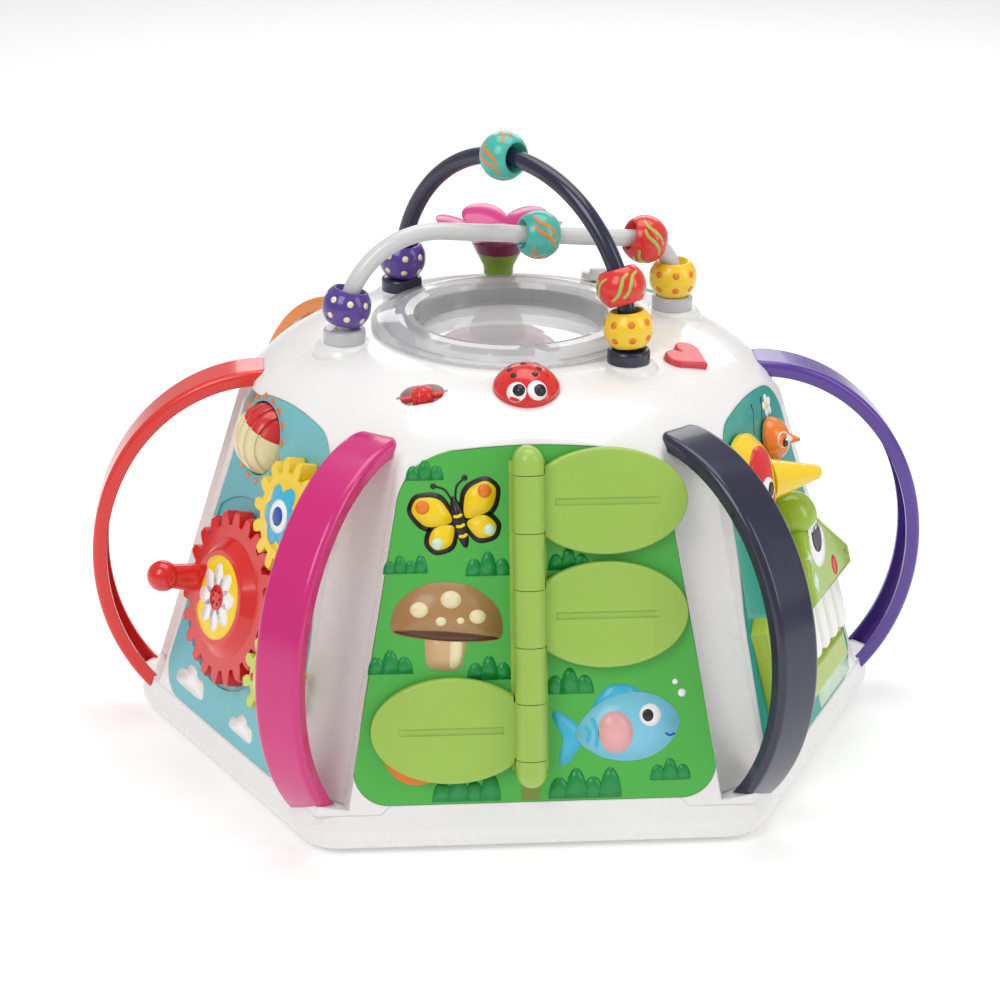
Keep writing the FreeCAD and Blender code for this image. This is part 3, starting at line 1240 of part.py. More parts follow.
def make_inside():
    save("battery_door", box(-DOOR_L / 2, DOOR_Y - DOOR_W / 2, TRAY_Z, DOOR_L / 2, DOOR_Y + DOOR_W / 2,
                             TRAY_Z + DOOR_T))
    save("circuit_board", box(-BOARD[0] / 2, -BOARD[1] / 2, BOARD_Z - BOARD[2],
                              BOARD[0] / 2, BOARD[1] / 2, BOARD_Z))
    floor = TRAY_Z + FLOOR_T
    rim_r = SPEAKER_R - GAP
    magnet = SPEAKER_R * 0.45
    speaker = turned([(0, floor), (rim_r, floor), (rim_r, floor + 3), (magnet + 4, floor + SPEAKER_H - 6),
                      (magnet, floor + SPEAKER_H - 6), (magnet, floor + SPEAKER_H), (0, floor + SPEAKER_H)])
    save("speaker", moved(speaker, y=SPEAKER_Y))
    save("feet", Part.makeCompound([disc(FOOT_R, 0, FOOT_T, *around(FOOT_DIST, a)[:2])
                                    for a in HANDLE_ANGLES.values()]))
    screws = []
    for azimuth, _ in FACES.values():
        screw = disc(SCREW_R, SCREW_SEAT_Z - 1, SCREW_SEAT_Z + SCREW_L)
        screw = fused([screw, disc(SCREW_HEAD_R, SCREW_SEAT_Z - SCREW_HEAD_T, SCREW_SEAT_Z)])
        screws.append(moved(screw, *around(SCREW_DIST, azimuth)[:2]))
    save("screws", Part.makeCompound(screws))


def make_all():
    outer = housing_block(0)
    tray = tray_block(0, TRAY_Z, SEAM_Z)
    make_shell(outer)
    make_tray(tray)
    make_handles(outer.fuse(tray))
    save("front_panel", on_face(panel_plate("front"), "front"))
    save("left_panel", make_left_panel())
    right = panel_plate("right")
    for hole in right_face_holes():
        right = right.cut(hole)
    save("right_panel", on_face(right, "right"))
    make_column()
    make_leaves()
    make_gears()
    save("sun_roller", make_sun_roller())
    make_birds()
    make_crocodile()
    make_drum()
    make_flower()
    make_buttons()
    make_roller()
    make_switch()
    make_wires()
    make_beads()
    make_clock()
    make_slider()
    make_spinner()
    make_inside()


make_all()
os.makedirs("parts", exist_ok=True)
for node, shape in NODES.items():
    shape.exportStep("parts/" + node + ".step")
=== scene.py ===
import math

import bpy
from mathutils import Matrix, Vector
from mathutils.bvhtree import BVHTree


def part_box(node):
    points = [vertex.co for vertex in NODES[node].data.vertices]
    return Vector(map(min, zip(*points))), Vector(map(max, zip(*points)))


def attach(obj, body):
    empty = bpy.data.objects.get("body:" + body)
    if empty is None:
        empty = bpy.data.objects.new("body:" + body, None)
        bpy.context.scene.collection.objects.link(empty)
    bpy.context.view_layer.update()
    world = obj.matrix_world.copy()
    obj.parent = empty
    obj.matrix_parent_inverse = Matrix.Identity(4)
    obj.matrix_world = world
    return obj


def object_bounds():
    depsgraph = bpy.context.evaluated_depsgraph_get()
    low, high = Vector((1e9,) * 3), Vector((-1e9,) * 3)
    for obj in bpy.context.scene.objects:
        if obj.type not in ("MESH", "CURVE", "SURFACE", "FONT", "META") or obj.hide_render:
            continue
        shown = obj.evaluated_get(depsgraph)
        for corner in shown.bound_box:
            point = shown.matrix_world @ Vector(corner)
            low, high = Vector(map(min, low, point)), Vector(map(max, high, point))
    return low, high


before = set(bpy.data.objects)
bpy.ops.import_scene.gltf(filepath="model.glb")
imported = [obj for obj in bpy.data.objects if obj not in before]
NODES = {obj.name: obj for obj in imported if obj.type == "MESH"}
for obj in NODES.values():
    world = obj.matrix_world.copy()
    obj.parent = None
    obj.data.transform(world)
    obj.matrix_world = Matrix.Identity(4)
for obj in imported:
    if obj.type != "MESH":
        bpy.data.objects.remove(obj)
cad_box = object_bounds()
MM = 0.001          # metres in a millimetre
UP = Vector((0, 0, 1))

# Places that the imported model's source also uses, millimetres and degrees

LEAN = 0.27                                 # how far a face leans in over its rise
FACES = {                                   # outward angle, distance of the face's foot
    "front": (-90.0, 178.0), "back": (90.0, 178.0),
    "left": (207.4, 180.8), "right": (-27.4, 180.8),
    "back_left": (152.6, 180.8), "back_right": (27.4, 180.8)}
DOME_Z, DOME_FLAT_R, DOME_ARC_R = 214.0, 70.0, 95.0
BALL = (-22.5, 175.5, -6.0)                 # middle of the sun roller on the left face
GEARS = {"big_gear": (-7.0, 94.5), "middle_gear": (30.95, 151.4), "small_gear": (50.2, 73.9)}
CRANK_ANGLE = 176.6
LADYBIRD = (90.5, -90.0, 18.56, -7.06)      # distance and angle on the roof, radius and centre
PARROT = (-27.0, 163.0)
CHICK = (17.5, 171.0)
WIRE_ANGLES = {"navy": -48.6, "grey": 14.5}
BEADS = {                                   # wire, direction of travel in the wire's plane
    "navy_bead_yellow": ("navy", 97.2), "navy_bead_red": ("navy", 112.2),
    "navy_bead_teal": ("navy", 184.6), "navy_bead_purple": ("navy", 262.8),
    "grey_bead_purple": ("grey", 76.0), "grey_bead_teal": ("grey", -7.3),
    "grey_bead_red": ("grey", -18.0), "grey_bead_yellow": ("grey", 90.0)}

# The same in metres, for masks in materials

FLOWER_Y, CUP_R, CUP_TOP = 0.085, 0.0162, 0.2366
BALL_SPLIT = 0.0085                         # height of the red cap's edge over the ball's middle


def rad(degrees):
    return math.radians(degrees)


def polar(r, angle):
    return r * math.cos(rad(angle)), r * math.sin(rad(angle))


def outward(angle):
    """Level unit vector at that angle."""
    return Vector((*polar(1, angle), 0))


# Camera, solved from the photograph, and lights; metres, radians and watts

CAMERA_AT = (-0.12263, -1.42841, 0.70295)
YAW, PITCH, ROLL = 0.0822, 0.3891, 0.0093
SENSOR, LENS = 36.0, 105.21                 # millimetres
CLIP_END = 20.0
WORLD_LIGHT = 0.46
LIGHTS = {                                  # place, aim, size, power
    "key": ((-0.9, -1.1, 1.5), (0, 0, 0.12), (0.8, 1.1), 11.5),
    "fill": ((1.3, -0.7, 0.9), (0, 0, 0.12), (0.5, 1.2), 5),
    "top": ((0.1, 0.3, 1.6), (0, 0, 0.1), (1.3, 1.0), 10),
    "rim": ((0.3, 1.6, 0.9), (0, 0, 0.15), (1.4, 0.6), 5)}


def camera():
    ahead = Vector((math.sin(YAW) * math.cos(PITCH), math.cos(YAW) * math.cos(PITCH),
                    -math.sin(PITCH)))
    right = Vector((math.cos(YAW), -math.sin(YAW), 0.0))
    up = right.cross(ahead)
    x = right * math.cos(ROLL) + up * math.sin(ROLL)
    y = up * math.cos(ROLL) - right * math.sin(ROLL)
    data = bpy.data.cameras.new("camera")
    data.sensor_width = SENSOR
    data.lens = LENS
    data.clip_end = CLIP_END
    view = bpy.data.objects.new("camera", data)
    rows = [(x[i], y[i], -ahead[i], CAMERA_AT[i]) for i in range(3)]
    view.matrix_world = Matrix(rows + [(0, 0, 0, 1)])
    bpy.context.scene.collection.objects.link(view)
    bpy.context.scene.camera = view


def area_light(name, where, towards, size, power):
    data = bpy.data.lights.new(name, "AREA")
    data.shape = "RECTANGLE"
    data.size, data.size_y = size
    data.energy = power
    lamp = bpy.data.objects.new(name, data)
    lamp.location = where
    aim = Vector(towards) - Vector(where)
    lamp.rotation_euler = aim.to_track_quat("-Z", "Y").to_euler()
    bpy.context.scene.collection.objects.link(lamp)


def studio():
    world = bpy.data.worlds.new("studio")
    bpy.context.scene.world = world
    world.use_nodes = True
    back = world.node_tree.nodes["Background"]
    back.inputs["Color"].default_value = (1.0, 1.0, 1.0, 1)
    back.inputs["Strength"].default_value = WORLD_LIGHT
    for name, settings in LIGHTS.items():
        area_light(name, *settings)
    bpy.context.scene.view_settings.view_transform = "Standard"


# Materials


class Graph:
    """Node tree of one material, with short calls for the nodes used here."""

    def __init__(self, name):
        self.material = bpy.data.materials.new(name)
        self.material.use_nodes = True
        self.tree = self.material.node_tree
        self.tree.nodes.clear()
        self.out = self.add("ShaderNodeOutputMaterial")
        self.shader = self.add("ShaderNodeBsdfPrincipled")
        self.link(self.shader.outputs["BSDF"], self.out.inputs["Surface"])
        self.place = self.add("ShaderNodeTexCoord").outputs["Object"]

    def add(self, kind, **settings):
        node = self.tree.nodes.new(kind)
        for key, value in settings.items():
            setattr(node, key, value)
        return node

    def link(self, source, target):
        self.tree.links.new(source, target)

    def feed(self, value, socket):
        """Link a socket, or write a plain value."""
        if isinstance(value, bpy.types.NodeSocket):
            self.link(value, socket)
        else:
            socket.default_value = value

    def surface(self, **values):
        """Feed the shader; an underscore stands for the space in a socket's name."""
        for key, value in values.items():
            self.feed(value, self.shader.inputs[key.replace("_", " ")])

    def math(self, operation, a, b=0.0):
        node = self.add("ShaderNodeMath", operation=operation)
        self.feed(a, node.inputs[0])
        self.feed(b, node.inputs[1])
        return node.outputs[0]

    def noise(self, scale, detail=2.0, rough=0.5):
        node = self.add("ShaderNodeTexNoise")
        self.link(self.place, node.inputs["Vector"])
        node.inputs["Scale"].default_value = scale
        node.inputs["Detail"].default_value = detail
        node.inputs["Roughness"].default_value = rough
        return node.outputs["Fac"]

    def spread(self, value, low, high, start=0.3, stop=0.7):
        """Map start to stop onto low to high."""
        node = self.add("ShaderNodeMapRange")
        self.link(value, node.inputs["Value"])
        for key, number in (("From Min", start), ("From Max", stop),
                            ("To Min", low), ("To Max", high)):
            node.inputs[key].default_value = number
        return node.outputs["Result"]

    def mix(self, mask, a, b):
        node = self.add("ShaderNodeMix", data_type="RGBA")
        self.feed(mask, node.inputs["Factor"])
        self.feed(a, node.inputs["A"])
        self.feed(b, node.inputs["B"])
        return node.outputs["Result"]

    def along(self, direction):
        """How far the shaded point lies along a direction, metres."""
        node = self.add("ShaderNodeVectorMath", operation="DOT_PRODUCT")
        self.link(self.place, node.inputs[0])
        node.inputs[1].default_value = direction
        return node.outputs["Value"]

    def beyond(self, point, direction):
        """1 on the far side of a plane through point (metres), 0 before it."""
        direction = Vector(direction).normalized()
        return self.math("GREATER_THAN", self.along(direction), direction.dot(Vector(point)))

    def ripple(self, height, strength, depth):
        """Bump node on the shader's normal."""
        node = self.add("ShaderNodeBump")
        node.inputs["Strength"].default_value = strength
        node.inputs["Distance"].default_value = depth
        self.link(height, node.inputs["Height"])
        self.link(node.outputs["Normal"], self.shader.inputs["Normal"])
        return node


def linear(color):
    """sRGB numbers of 0 to 255 as a linear colour."""
    def one(c):
        c = c / 255.0
        return c / 12.92 if c <= 0.04045 else ((c + 0.055) / 1.055) ** 2.4
    return tuple(one(c) for c in color) + (1.0,)


def shade(color, factor):
    return tuple(min(1.0, c * factor) for c in color[:3]) + (1.0,)


def finish_plastic(g, color, rough=0.24, bump=0.05, vary=0.04, bevel=0.0009, coat=0.35):
    """Moulded plastic: slow colour drift, uneven gloss, fine surface ripple, soft edges."""
    drift = g.spread(g.noise(22.0, 3.0), 0.0, 1.0)
    if isinstance(color, bpy.types.NodeSocket):
        darker = g.add("ShaderNodeHueSaturation")
        darker.inputs["Value"].default_value = 1 - vary
        g.link(color, darker.inputs["Color"])
        base = g.mix(drift, color, darker.outputs["Color"])
    else:
        base = g.mix(drift, shade(color, 1 + vary / 2), shade(color, 1 - vary / 2))
    gloss = g.spread(g.noise(60.0, 4.0, 0.6), rough * 0.75, rough * 1.3)
    g.surface(Base_Color=base, Roughness=gloss, IOR=1.49, Coat_Weight=coat, Coat_Roughness=0.06)
    ripple = g.ripple(g.noise(1400.0, 2.0), bump, 0.0002)
    if bevel:
        soft = g.add("ShaderNodeBevel", samples=4)
        soft.inputs["Radius"].default_value = bevel
        g.link(soft.outputs["Normal"], ripple.inputs["Normal"])
    return g.material


SATIN = {"bump": 0.03, "vary": 0.03, "bevel": 0.0, "coat": 0.2}


def plastic(name, color, *numbers):
    return finish_plastic(Graph(name), linear(color), *numbers)


def board_plastic(name, color):
    return finish_plastic(Graph(name), linear(color), 0.34, **SATIN)


def ink(name, color):
    """Printed ink under a satin film."""
    return finish_plastic(Graph(name), linear(color), 0.33, **SATIN)


def clear_plastic(name, tint, rough, thin, dense, ior):
    """See-through plastic, thin where it faces the eye and denser where it is seen edge on."""
    g = Graph(name)
    facing = g.add("ShaderNodeLayerWeight")
    facing.inputs["Blend"].default_value = 0.35
    gloss = g.spread(g.noise(40.0, 4.0, 0.6), rough * 0.4, rough * 1.6)
    g.surface(Base_Color=linear(tint), IOR=ior, Coat_Weight=1.0, Coat_IOR=ior, Coat_Roughness=0.02,
              Alpha=g.spread(facing.outputs["Facing"], thin, dense, 0.0, 1.0), Roughness=gloss)
    g.ripple(g.noise(55.0, 2.0), 0.08, 0.0004)
    return g.material


def metal(name, color, rough):
    g = Graph(name)
    base = g.mix(g.noise(300.0), shade(linear(color), 1.05), shade(linear(color), 0.85))
    g.surface(Metallic=1.0, Base_Color=base,
              Roughness=g.spread(g.noise(900.0), rough * 0.8, rough * 1.3))
    return g.material


WHITE = (240, 239, 237)
RED = (222, 38, 34)
NAVY = (36, 36, 62)
CREAM = (240, 226, 180)

INK = {name: ink("ink_" + name, color) for name, color in {
    "white": (250, 250, 248), "black": (28, 22, 24), "yellow": (252, 214, 0),
    "orange": (240, 128, 32), "red": (226, 34, 40), "brown": (176, 134, 84),
    "dark_brown": (88, 50, 26), "tan": (214, 178, 132), "cream": (244, 232, 186),
    "sky": (128, 206, 232), "cyan": (60, 186, 222), "pink": (244, 176, 180),
    "leaf": (0, 144, 62), "lime": (160, 198, 84), "mint": (214, 240, 214),
    "blue": (30, 80, 176), "violet": (120, 82, 170), "olive": (128, 148, 52),
    "teal": (20, 150, 140), "magenta": (206, 40, 122)}.items()}


# Places on the object


def face_axes(name):
    """Foot of a face, its level and rising directions and its normal."""
    azimuth, apothem = FACES[name]
    lean = math.atan(LEAN)
    out = outward(azimuth)
    u = Vector((-out.y, out.x, 0))
    v = Vector((0, 0, math.cos(lean))) - out * math.sin(lean)
    w = out * math.cos(lean) + Vector((0, 0, math.sin(lean)))
    return out * apothem, u, v, w


class Spot:
    """A flat drawing board in space: drawn x, y in millimetres, printed along -normal."""

    def __init__(self, origin, x, y, normal):
        self.origin, self.normal = Vector(origin), Vector(normal)
        self.x, self.y = Vector(x), Vector(y)

    def at(self, x, y, z=0.0):
        """That place in metres."""
        return (self.origin + self.x * x + self.y * y + self.normal * z) * MM

    def turned(self, angle, x=0.0, y=0.0):
        """The board moved to x, y and turned by an angle."""
        c, s = polar(1, angle)
        return Spot(self.origin + self.x * x + self.y * y, self.x * c + self.y * s,
                    self.y * c - self.x * s, self.normal)


def face_spot(name, u=0.0, v=0.0, angle=0.0):
    return Spot(*face_axes(name)).turned(angle, u, v)


def roof_spot(distance, angle):
    out = outward(angle)
    tilt = math.asin(max(0.0, distance - DOME_FLAT_R) / DOME_ARC_R)
    down = out * math.cos(tilt) - UP * math.sin(tilt)
    normal = out * math.sin(tilt) + UP * math.cos(tilt)
    z = DOME_Z - DOME_ARC_R * (1 - math.cos(tilt))
    return Spot(out * distance + Vector((0, 0, z)), down, Vector((-out.y, out.x, 0)), normal)


def on_dome(spot, x, y, radius, centre):
    """Board that touches a dome's surface over x, y of the spot that the dome stands on."""
    z = math.sqrt(radius ** 2 - x ** 2 - y ** 2)
    normal = (spot.x * x + spot.y * y + spot.normal * z) / radius
    across = (spot.y - normal * spot.y.dot(normal)).normalized()
    origin = spot.origin + spot.normal * centre + normal * radius
    return Spot(origin, across.cross(normal), across, normal)


def bead_board(node, azimuth, latitude=0.0):
    """Board through a bead's middle, turned about its bore from the camera's side."""
    wire, travel = BEADS[node]
    axis = outward(WIRE_ANGLES[wire]) * math.cos(rad(travel)) + UP * math.sin(rad(travel))
    if axis.z < 0:
        axis = -axis
    low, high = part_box(node)
    centre = (low + high) / 2
    front = (Vector(CAMERA_AT) - centre).normalized()
    front = (front - axis * front.dot(axis)).normalized()
    side = axis.cross(front)
    out = front * math.cos(rad(azimuth)) + side * math.sin(rad(azimuth))
    normal = out * math.cos(rad(latitude)) + axis * math.sin(rad(latitude))
    y = (axis - normal * axis.dot(normal)).normalized()
    return Spot(centre / MM, y.cross(normal), y, normal)


TREES = {}


def tree_of(node):
    if node not in TREES:
        mesh = NODES[node].data
        TREES[node] = BVHTree.FromPolygons([v.co.copy() for v in mesh.vertices],
                                           [p.vertices[:] for p in mesh.polygons])
    return TREES[node]


# Outlines, millimetres


def between(p0, p1, p2, p3, t):
    """Point at share t of the smooth curve from p1 to p2."""
    return (2 * p1 + (p2 - p0) * t + (2 * p0 - 5 * p1 + 4 * p2 - p3) * t * t
            + (3 * p1 - p0 - 3 * p2 + p3) * t ** 3) * 0.5


def ellipse(x, y, a, b=None, count=40):
    b = a if b is None else b
    turns = [2 * math.pi * k / count for k in range(count)]
    return [(x + a * math.cos(t), y + b * math.sin(t)) for t in turns]


def smooth(points, steps=6):
    """Closed curve through the points."""
    out = []
    n = len(points)
    for i in range(n):
        corners = [Vector(points[(i + k - 1) % n]) for k in range(4)]
        out += [tuple(between(*corners, s / steps)) for s in range(steps)]
    return out


def petal(length, width, x=0.0, y=0.0, turn=0.0):
    """Petal that grows from x, y along turn."""
    c, s = polar(1, turn)
    blunt = 0.6                             # share of the length where it is widest
    side = [(length * blunt * 0.55, width * 0.42), (length * blunt, width * 0.5),
            (length * 0.93, width * 0.28)]
    shape = smooth([(0, 0)] + [(px, -py) for px, py in side] + [(length, 0)] + side[::-1], 5)
    return [(x + px * c - py * s, y + px * s + py * c) for px, py in shape]


def diamond(x, y, size):
    return [(x, y - size), (x + size * 0.7, y), (x, y + size), (x - size * 0.7, y)]


def arch(x, y, half_width, height, step):
    """Half ellipse on a straight foot, with a point every step degrees."""
    return [(x + half_width * math.cos(rad(a)), y + height * math.sin(rad(a)))
            for a in range(0, 181, step)]


def centre_of(points):
    return sum(p[0] for p in points) / len(points), sum(p[1] for p in points) / len(points)


# Printed pieces

PRINT_LIFT, LEVEL_LIFT, PRINT_SINK = 0.10, 0.07, 0.05
RAY_START = 60.0
RING_WIDTH = 2.2                            # of a round print on a curved node
STROKE_CELLS = 4                            # across a line
RIDES = {None: "base", "crocodile_head": "base", "crocodile_jaw": "base",
         "parrot_head": "parrot", "chick_head": "chick", "ladybird_button": "ladybird"}
COUNTS = {}


def closed_piece(name, top, bottom, faces, rim, color, on):
    """Thin closed mesh from matching top and bottom points, riding on its node's body."""
    COUNTS[name] = COUNTS.get(name, 0) + 1
    name = "%s_%02d" % (name, COUNTS[name])
    count, around = len(top), len(rim)
    polygons = [tuple(f) for f in faces] + [tuple(count + i for i in reversed(f)) for f in faces]
    for k in range(around):
        here, after = rim[k], rim[(k + 1) % around]
        polygons.append((after, here, count + here, count + after))
    mesh = bpy.data.meshes.new(name)
    mesh.from_pydata([tuple(p) for p in top + bottom], [], polygons)
    for polygon in mesh.polygons:
        polygon.use_smooth = polygon.index < 2 * len(faces)
    mesh.validate()
    mesh.materials.append(INK[color])
    piece = bpy.data.objects.new(name, mesh)
    bpy.context.scene.collection.objects.link(piece)
    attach(piece, RIDES.get(on, on))


def settle(spot, points, on, level):
    """Top and bottom points of a print on the flat board, or on a node under it."""
    lift = PRINT_LIFT + LEVEL_LIFT * level
    top, bottom = [], []
    for x, y in points:
        if on is None:
            top.append(spot.at(x, y, lift))
            bottom.append(spot.at(x, y, -PRINT_SINK))
            continue
        hit, normal, _, _ = tree_of(on).ray_cast(spot.at(x, y, RAY_START), -spot.normal)
        if hit is None:
            hit, normal, _, _ = tree_of(on).find_nearest(spot.at(x, y))
        if normal.dot(spot.normal) < 0:
            normal = -normal
        top.append(hit + normal * lift * MM)
        bottom.append(hit - normal * PRINT_SINK * MM)
    return top, bottom


def fill(name, spot, outline, color, on=None, level=0, rings=1):
    """Printed patch inside an outline that its own middle can see all of."""
    cx, cy = centre_of(outline)
    count = len(outline)
    points = [(cx, cy)]
    for ring in range(1, rings + 1):
        share = ring / rings
        points += [(cx + (x - cx) * share, cy + (y - cy) * share) for x, y in outline]
    area = sum(outline[k - 1][0] * outline[k][1] - outline[k][0] * outline[k - 1][1]
               for k in range(count))
    faces = []
    for k in range(count):
        after = (k + 1) % count
        faces.append((0, 1 + k, 1 + after))
        for ring in range(1, rings):
            low, high = 1 + (ring - 1) * count, 1 + ring * count
            faces.append((low + k, high + k, high + after, low + after))
    rim = [1 + (rings - 1) * count + k for k in range(count)]
    if area < 0:
        faces = [tuple(reversed(f)) for f in faces]
        rim.reverse()
    top, bottom = settle(spot, points, on, level)
    closed_piece(name, top, bottom, faces, rim, color, on)


def stroke(name, spot, line, width, color, on=None, level=0, steps=8, taper=0.0):
    """Printed line of that width along an open smooth curve, with round ends."""
    path = []
    for i in range(len(line) - 1):
        corners = [Vector(line[max(i - 1, 0)]), Vector(line[i]), Vector(line[i + 1]),
                   Vector(line[min(i + 2, len(line) - 1)])]
        path += [between(*corners, s / steps) for s in range(steps)]
    path.append(Vector(line[-1]))
    lengths = [0.0]
    for a, b in zip(path, path[1:]):
        lengths.append(lengths[-1] + (b - a).length)
    total, cells = lengths[-1], STROKE_CELLS
    points = []
    for k, p in enumerate(path):
        along = (path[min(k + 1, len(path) - 1)] - path[max(k - 1, 0)]).normalized()
        side = Vector((-along.y, along.x))
        end = min(lengths[k], total - lengths[k])
        half = width / 2
        share = math.sqrt(max(0.04, 1 - max(0.0, 1 - end / half) ** 2))
        half *= share * (1 - taper * abs(2 * lengths[k] / total - 1))
        points += [tuple(p + side * half * (2 * j / cells - 1)) for j in range(cells + 1)]
    row = cells + 1
    faces = []
    for k in range(len(path) - 1):
        for j in range(cells):
            a = k * row + j
            faces.append((a, a + row, a + row + 1, a + 1))
    last = (len(path) - 1) * row
    rim = [k * row for k in range(len(path))]
    rim += [last + j for j in range(1, row)]
    rim += [k * row + cells for k in range(len(path) - 2, -1, -1)]
    rim += list(range(cells - 1, 0, -1))
    top, bottom = settle(spot, points, on, level)
    closed_piece(name, top, bottom, faces, rim, color, on)


def dot(name, spot, x, y, r, color, on=None, level=0, stretch=1.0):
    rings = max(1, int(r / RING_WIDTH)) if on else 1
    fill(name, spot, ellipse(x, y, r * stretch, r, 28), color, on, level, rings)


def eye(name, spot, x, y, r, look, on=None, level=0):
    """White and pupil, the pupil moved by look times the radius."""
    dot(name + "_white", spot, x, y, r, "white", on, level, 0.94)
    dot(name + "_pupil", spot, x + look[0] * r, y + look[1] * r, r * 0.56, "black", on, level + 1,
        0.86)


# Finishes of the CAD pieces


def two_tone(name, first, second, mask_of):
    """Plastic in two colours, the second where the mask is 1."""
    g = Graph(name)
    return finish_plastic(g, g.mix(mask_of(g), linear(first), linear(second)))


def collar_mask(g):
    """1 at the grey wire's collars."""
    navy, grey = (g.math("ABSOLUTE", g.along(outward(WIRE_ANGLES[wire])))
                  for wire in ("navy", "grey"))
    return g.math("GREATER_THAN", grey, navy)


def cup_mask(g):
    """1 at the cup under the flower's petals."""
    split = g.add("ShaderNodeSeparateXYZ")
    g.link(g.place, split.inputs[0])
    x = split.outputs["X"]
    y = g.math("SUBTRACT", split.outputs["Y"], FLOWER_Y)
    r2 = g.math("ADD", g.math("MULTIPLY", x, x), g.math("MULTIPLY", y, y))
    inside = g.math("LESS_THAN", r2, CUP_R ** 2)
    return g.math("MULTIPLY", inside, g.math("LESS_THAN", split.outputs["Z"], CUP_TOP))


def ball_mask(g):
    """1 at the sun roller's cap."""
    origin, u, v, w = face_axes("left")
    middle = (origin + u * BALL[0] + v * BALL[1] + w * BALL[2]) * MM
    return g.beyond(middle + v * BALL_SPLIT, v + u * 0.35)


def circuit(name):
    g = Graph(name)
    brick = g.add("ShaderNodeTexBrick")
    g.link(g.place, brick.inputs["Vector"])
    brick.inputs["Scale"].default_value = 90.0
    brick.inputs["Color1"].default_value = linear((16, 92, 46))
    brick.inputs["Color2"].default_value = linear((20, 104, 54))
    brick.inputs["Mortar"].default_value = linear((150, 120, 60))
    g.surface(Base_Color=brick.outputs["Color"], Roughness=g.spread(g.noise(80.0), 0.3, 0.5))
    return g.material


def finishes():
    white = plastic("white_shell", WHITE, 0.26, 0.04, 0.015, 0.0012, 0.4)
    lime = plastic("lime_leaf", (160, 196, 84), 0.30, 0.05, 0.05, 0.0007, 0.25)
    red = plastic("red_gloss", RED, 0.2)
    yellow = plastic("yellow_gloss", (250, 212, 40), 0.22)
    tooth = plastic("tooth_white", (246, 245, 240), 0.2)
    steel = metal("steel", (190, 192, 196), 0.25)
    table = {
        "base_tray": white, "upper_shell": white, "battery_door": white,
        "feet": plastic("rubber", (96, 96, 98), 0.7, 0.2, 0.1, 0.0, 0.0),
        "screws": steel, "hinge_pin": steel,
        "circuit_board": circuit("circuit_board"),
        "speaker": plastic("speaker_black", (34, 34, 36), 0.5, 0.1),
        "front_panel": board_plastic("panel_green", (78, 180, 72)),
        "left_panel": board_plastic("panel_blue", (112, 192, 200)),
        "right_panel": board_plastic("panel_teal", (20, 160, 146)),
        "back_panel": board_plastic("panel_green_back", (96, 186, 84)),
        "back_left_panel": board_plastic("panel_teal_back", (44, 168, 158)),
        "back_right_panel": board_plastic("panel_blue_back", (122, 196, 214)),
        "handle_left": plastic("handle_red", (226, 46, 38), 0.2),
        "handle_front_left": plastic("handle_magenta", (206, 32, 118), 0.2),
        "handle_front_right": plastic("handle_navy", NAVY, 0.2),
        "handle_right": plastic("handle_purple", (88, 56, 152), 0.2),
        "handle_back_right": plastic("handle_teal", (22, 160, 148), 0.2),
        "handle_back_left": plastic("handle_orange", (240, 132, 34), 0.2),
        "hinge_column": lime, "leaf_top": lime, "leaf_middle": lime, "leaf_bottom": lime,
        "big_gear": red, "middle_gear": yellow,
        "small_gear": plastic("gear_lime", (198, 214, 70), 0.24),
        "gear_axles": plastic("axle_grey", (150, 150, 152), 0.3),
        "sun_roller": two_tone("sun_ball", CREAM, (214, 36, 36), ball_mask),
        "parrot_head": yellow,
        "chick_head": plastic("chick_orange", (242, 128, 34), 0.22),
        "crocodile_head": plastic("croc_lime", (158, 192, 50), 0.24),
        "crocodile_jaw": plastic("croc_lime_jaw", (166, 192, 56), 0.24),
        "key_1": tooth, "key_2": tooth, "key_3": tooth, "key_4": tooth,
        "drum_ring": clear_plastic("clear_plastic", (206, 207, 208), 0.06, 0.34, 0.85, 1.5),
        "drum_disc": clear_plastic("clear_disc", (236, 236, 236), 0.02, 0.5, 0.8, 1.9),
        "flower_head": two_tone("flower_petals", (208, 44, 128), (132, 28, 78), cup_mask),
        "flower_stem": plastic("stem_lime", (132, 166, 48), 0.26),
        "ladybird_button": red,
        "heart_button": plastic("heart_red", (214, 52, 64), 0.24),
        "ribbed_roller": red,
        "switch_knob": plastic("switch_grey", (206, 206, 206), 0.25),
        "navy_wire": plastic("wire_navy", NAVY, 0.2, 0.04),
        "grey_wire": plastic("wire_grey", (214, 214, 214), 0.22, 0.04),
        "wire_collars": two_tone("collars", NAVY, (198, 198, 200), collar_mask),
        "clock_minute_hand": red,
        "clock_hour_hand": plastic("hand_navy", NAVY, 0.22),
        "slider_knob": red, "spinner": yellow,
    }
    for name, color, rough in (("red", (226, 46, 42), 0.24), ("teal", (70, 184, 168), 0.26),
                               ("purple", (84, 58, 146), 0.24), ("yellow", (250, 210, 42), 0.24)):
        bead = plastic("bead_" + name, color, rough)
        for wire in WIRE_ANGLES:
            table["%s_bead_%s" % (wire, name)] = bead
    for node, material in table.items():
        mesh = NODES[node].data
        mesh.materials.clear()
        mesh.materials.append(material)


# Printed designs


def tuft(spot, x, y, size, blades=3):
    """Bush of round-topped domes on a straight foot."""
    for k in range(blades):
        middle = x + (k - (blades - 1) / 2) * size * 0.56
        height = size * (1.0 if k % 2 else 0.72)
        fill("tuft", spot, arch(middle, y, size * 0.36, height, 15), "leaf", level=k % 2)


def cloud(spot, x, y, size):
    outline = smooth([(-2.0, -0.5), (-1.8, 0.35), (-1.0, 0.6), (-0.5, 1.15), (0.4, 1.1),
                      (0.8, 0.7), (1.6, 0.6), (2.0, -0.1), (1.7, -0.6), (0, -0.65)])
    fill("cloud", spot, [(x + px * size, y + py * size) for px, py in outline], "white")


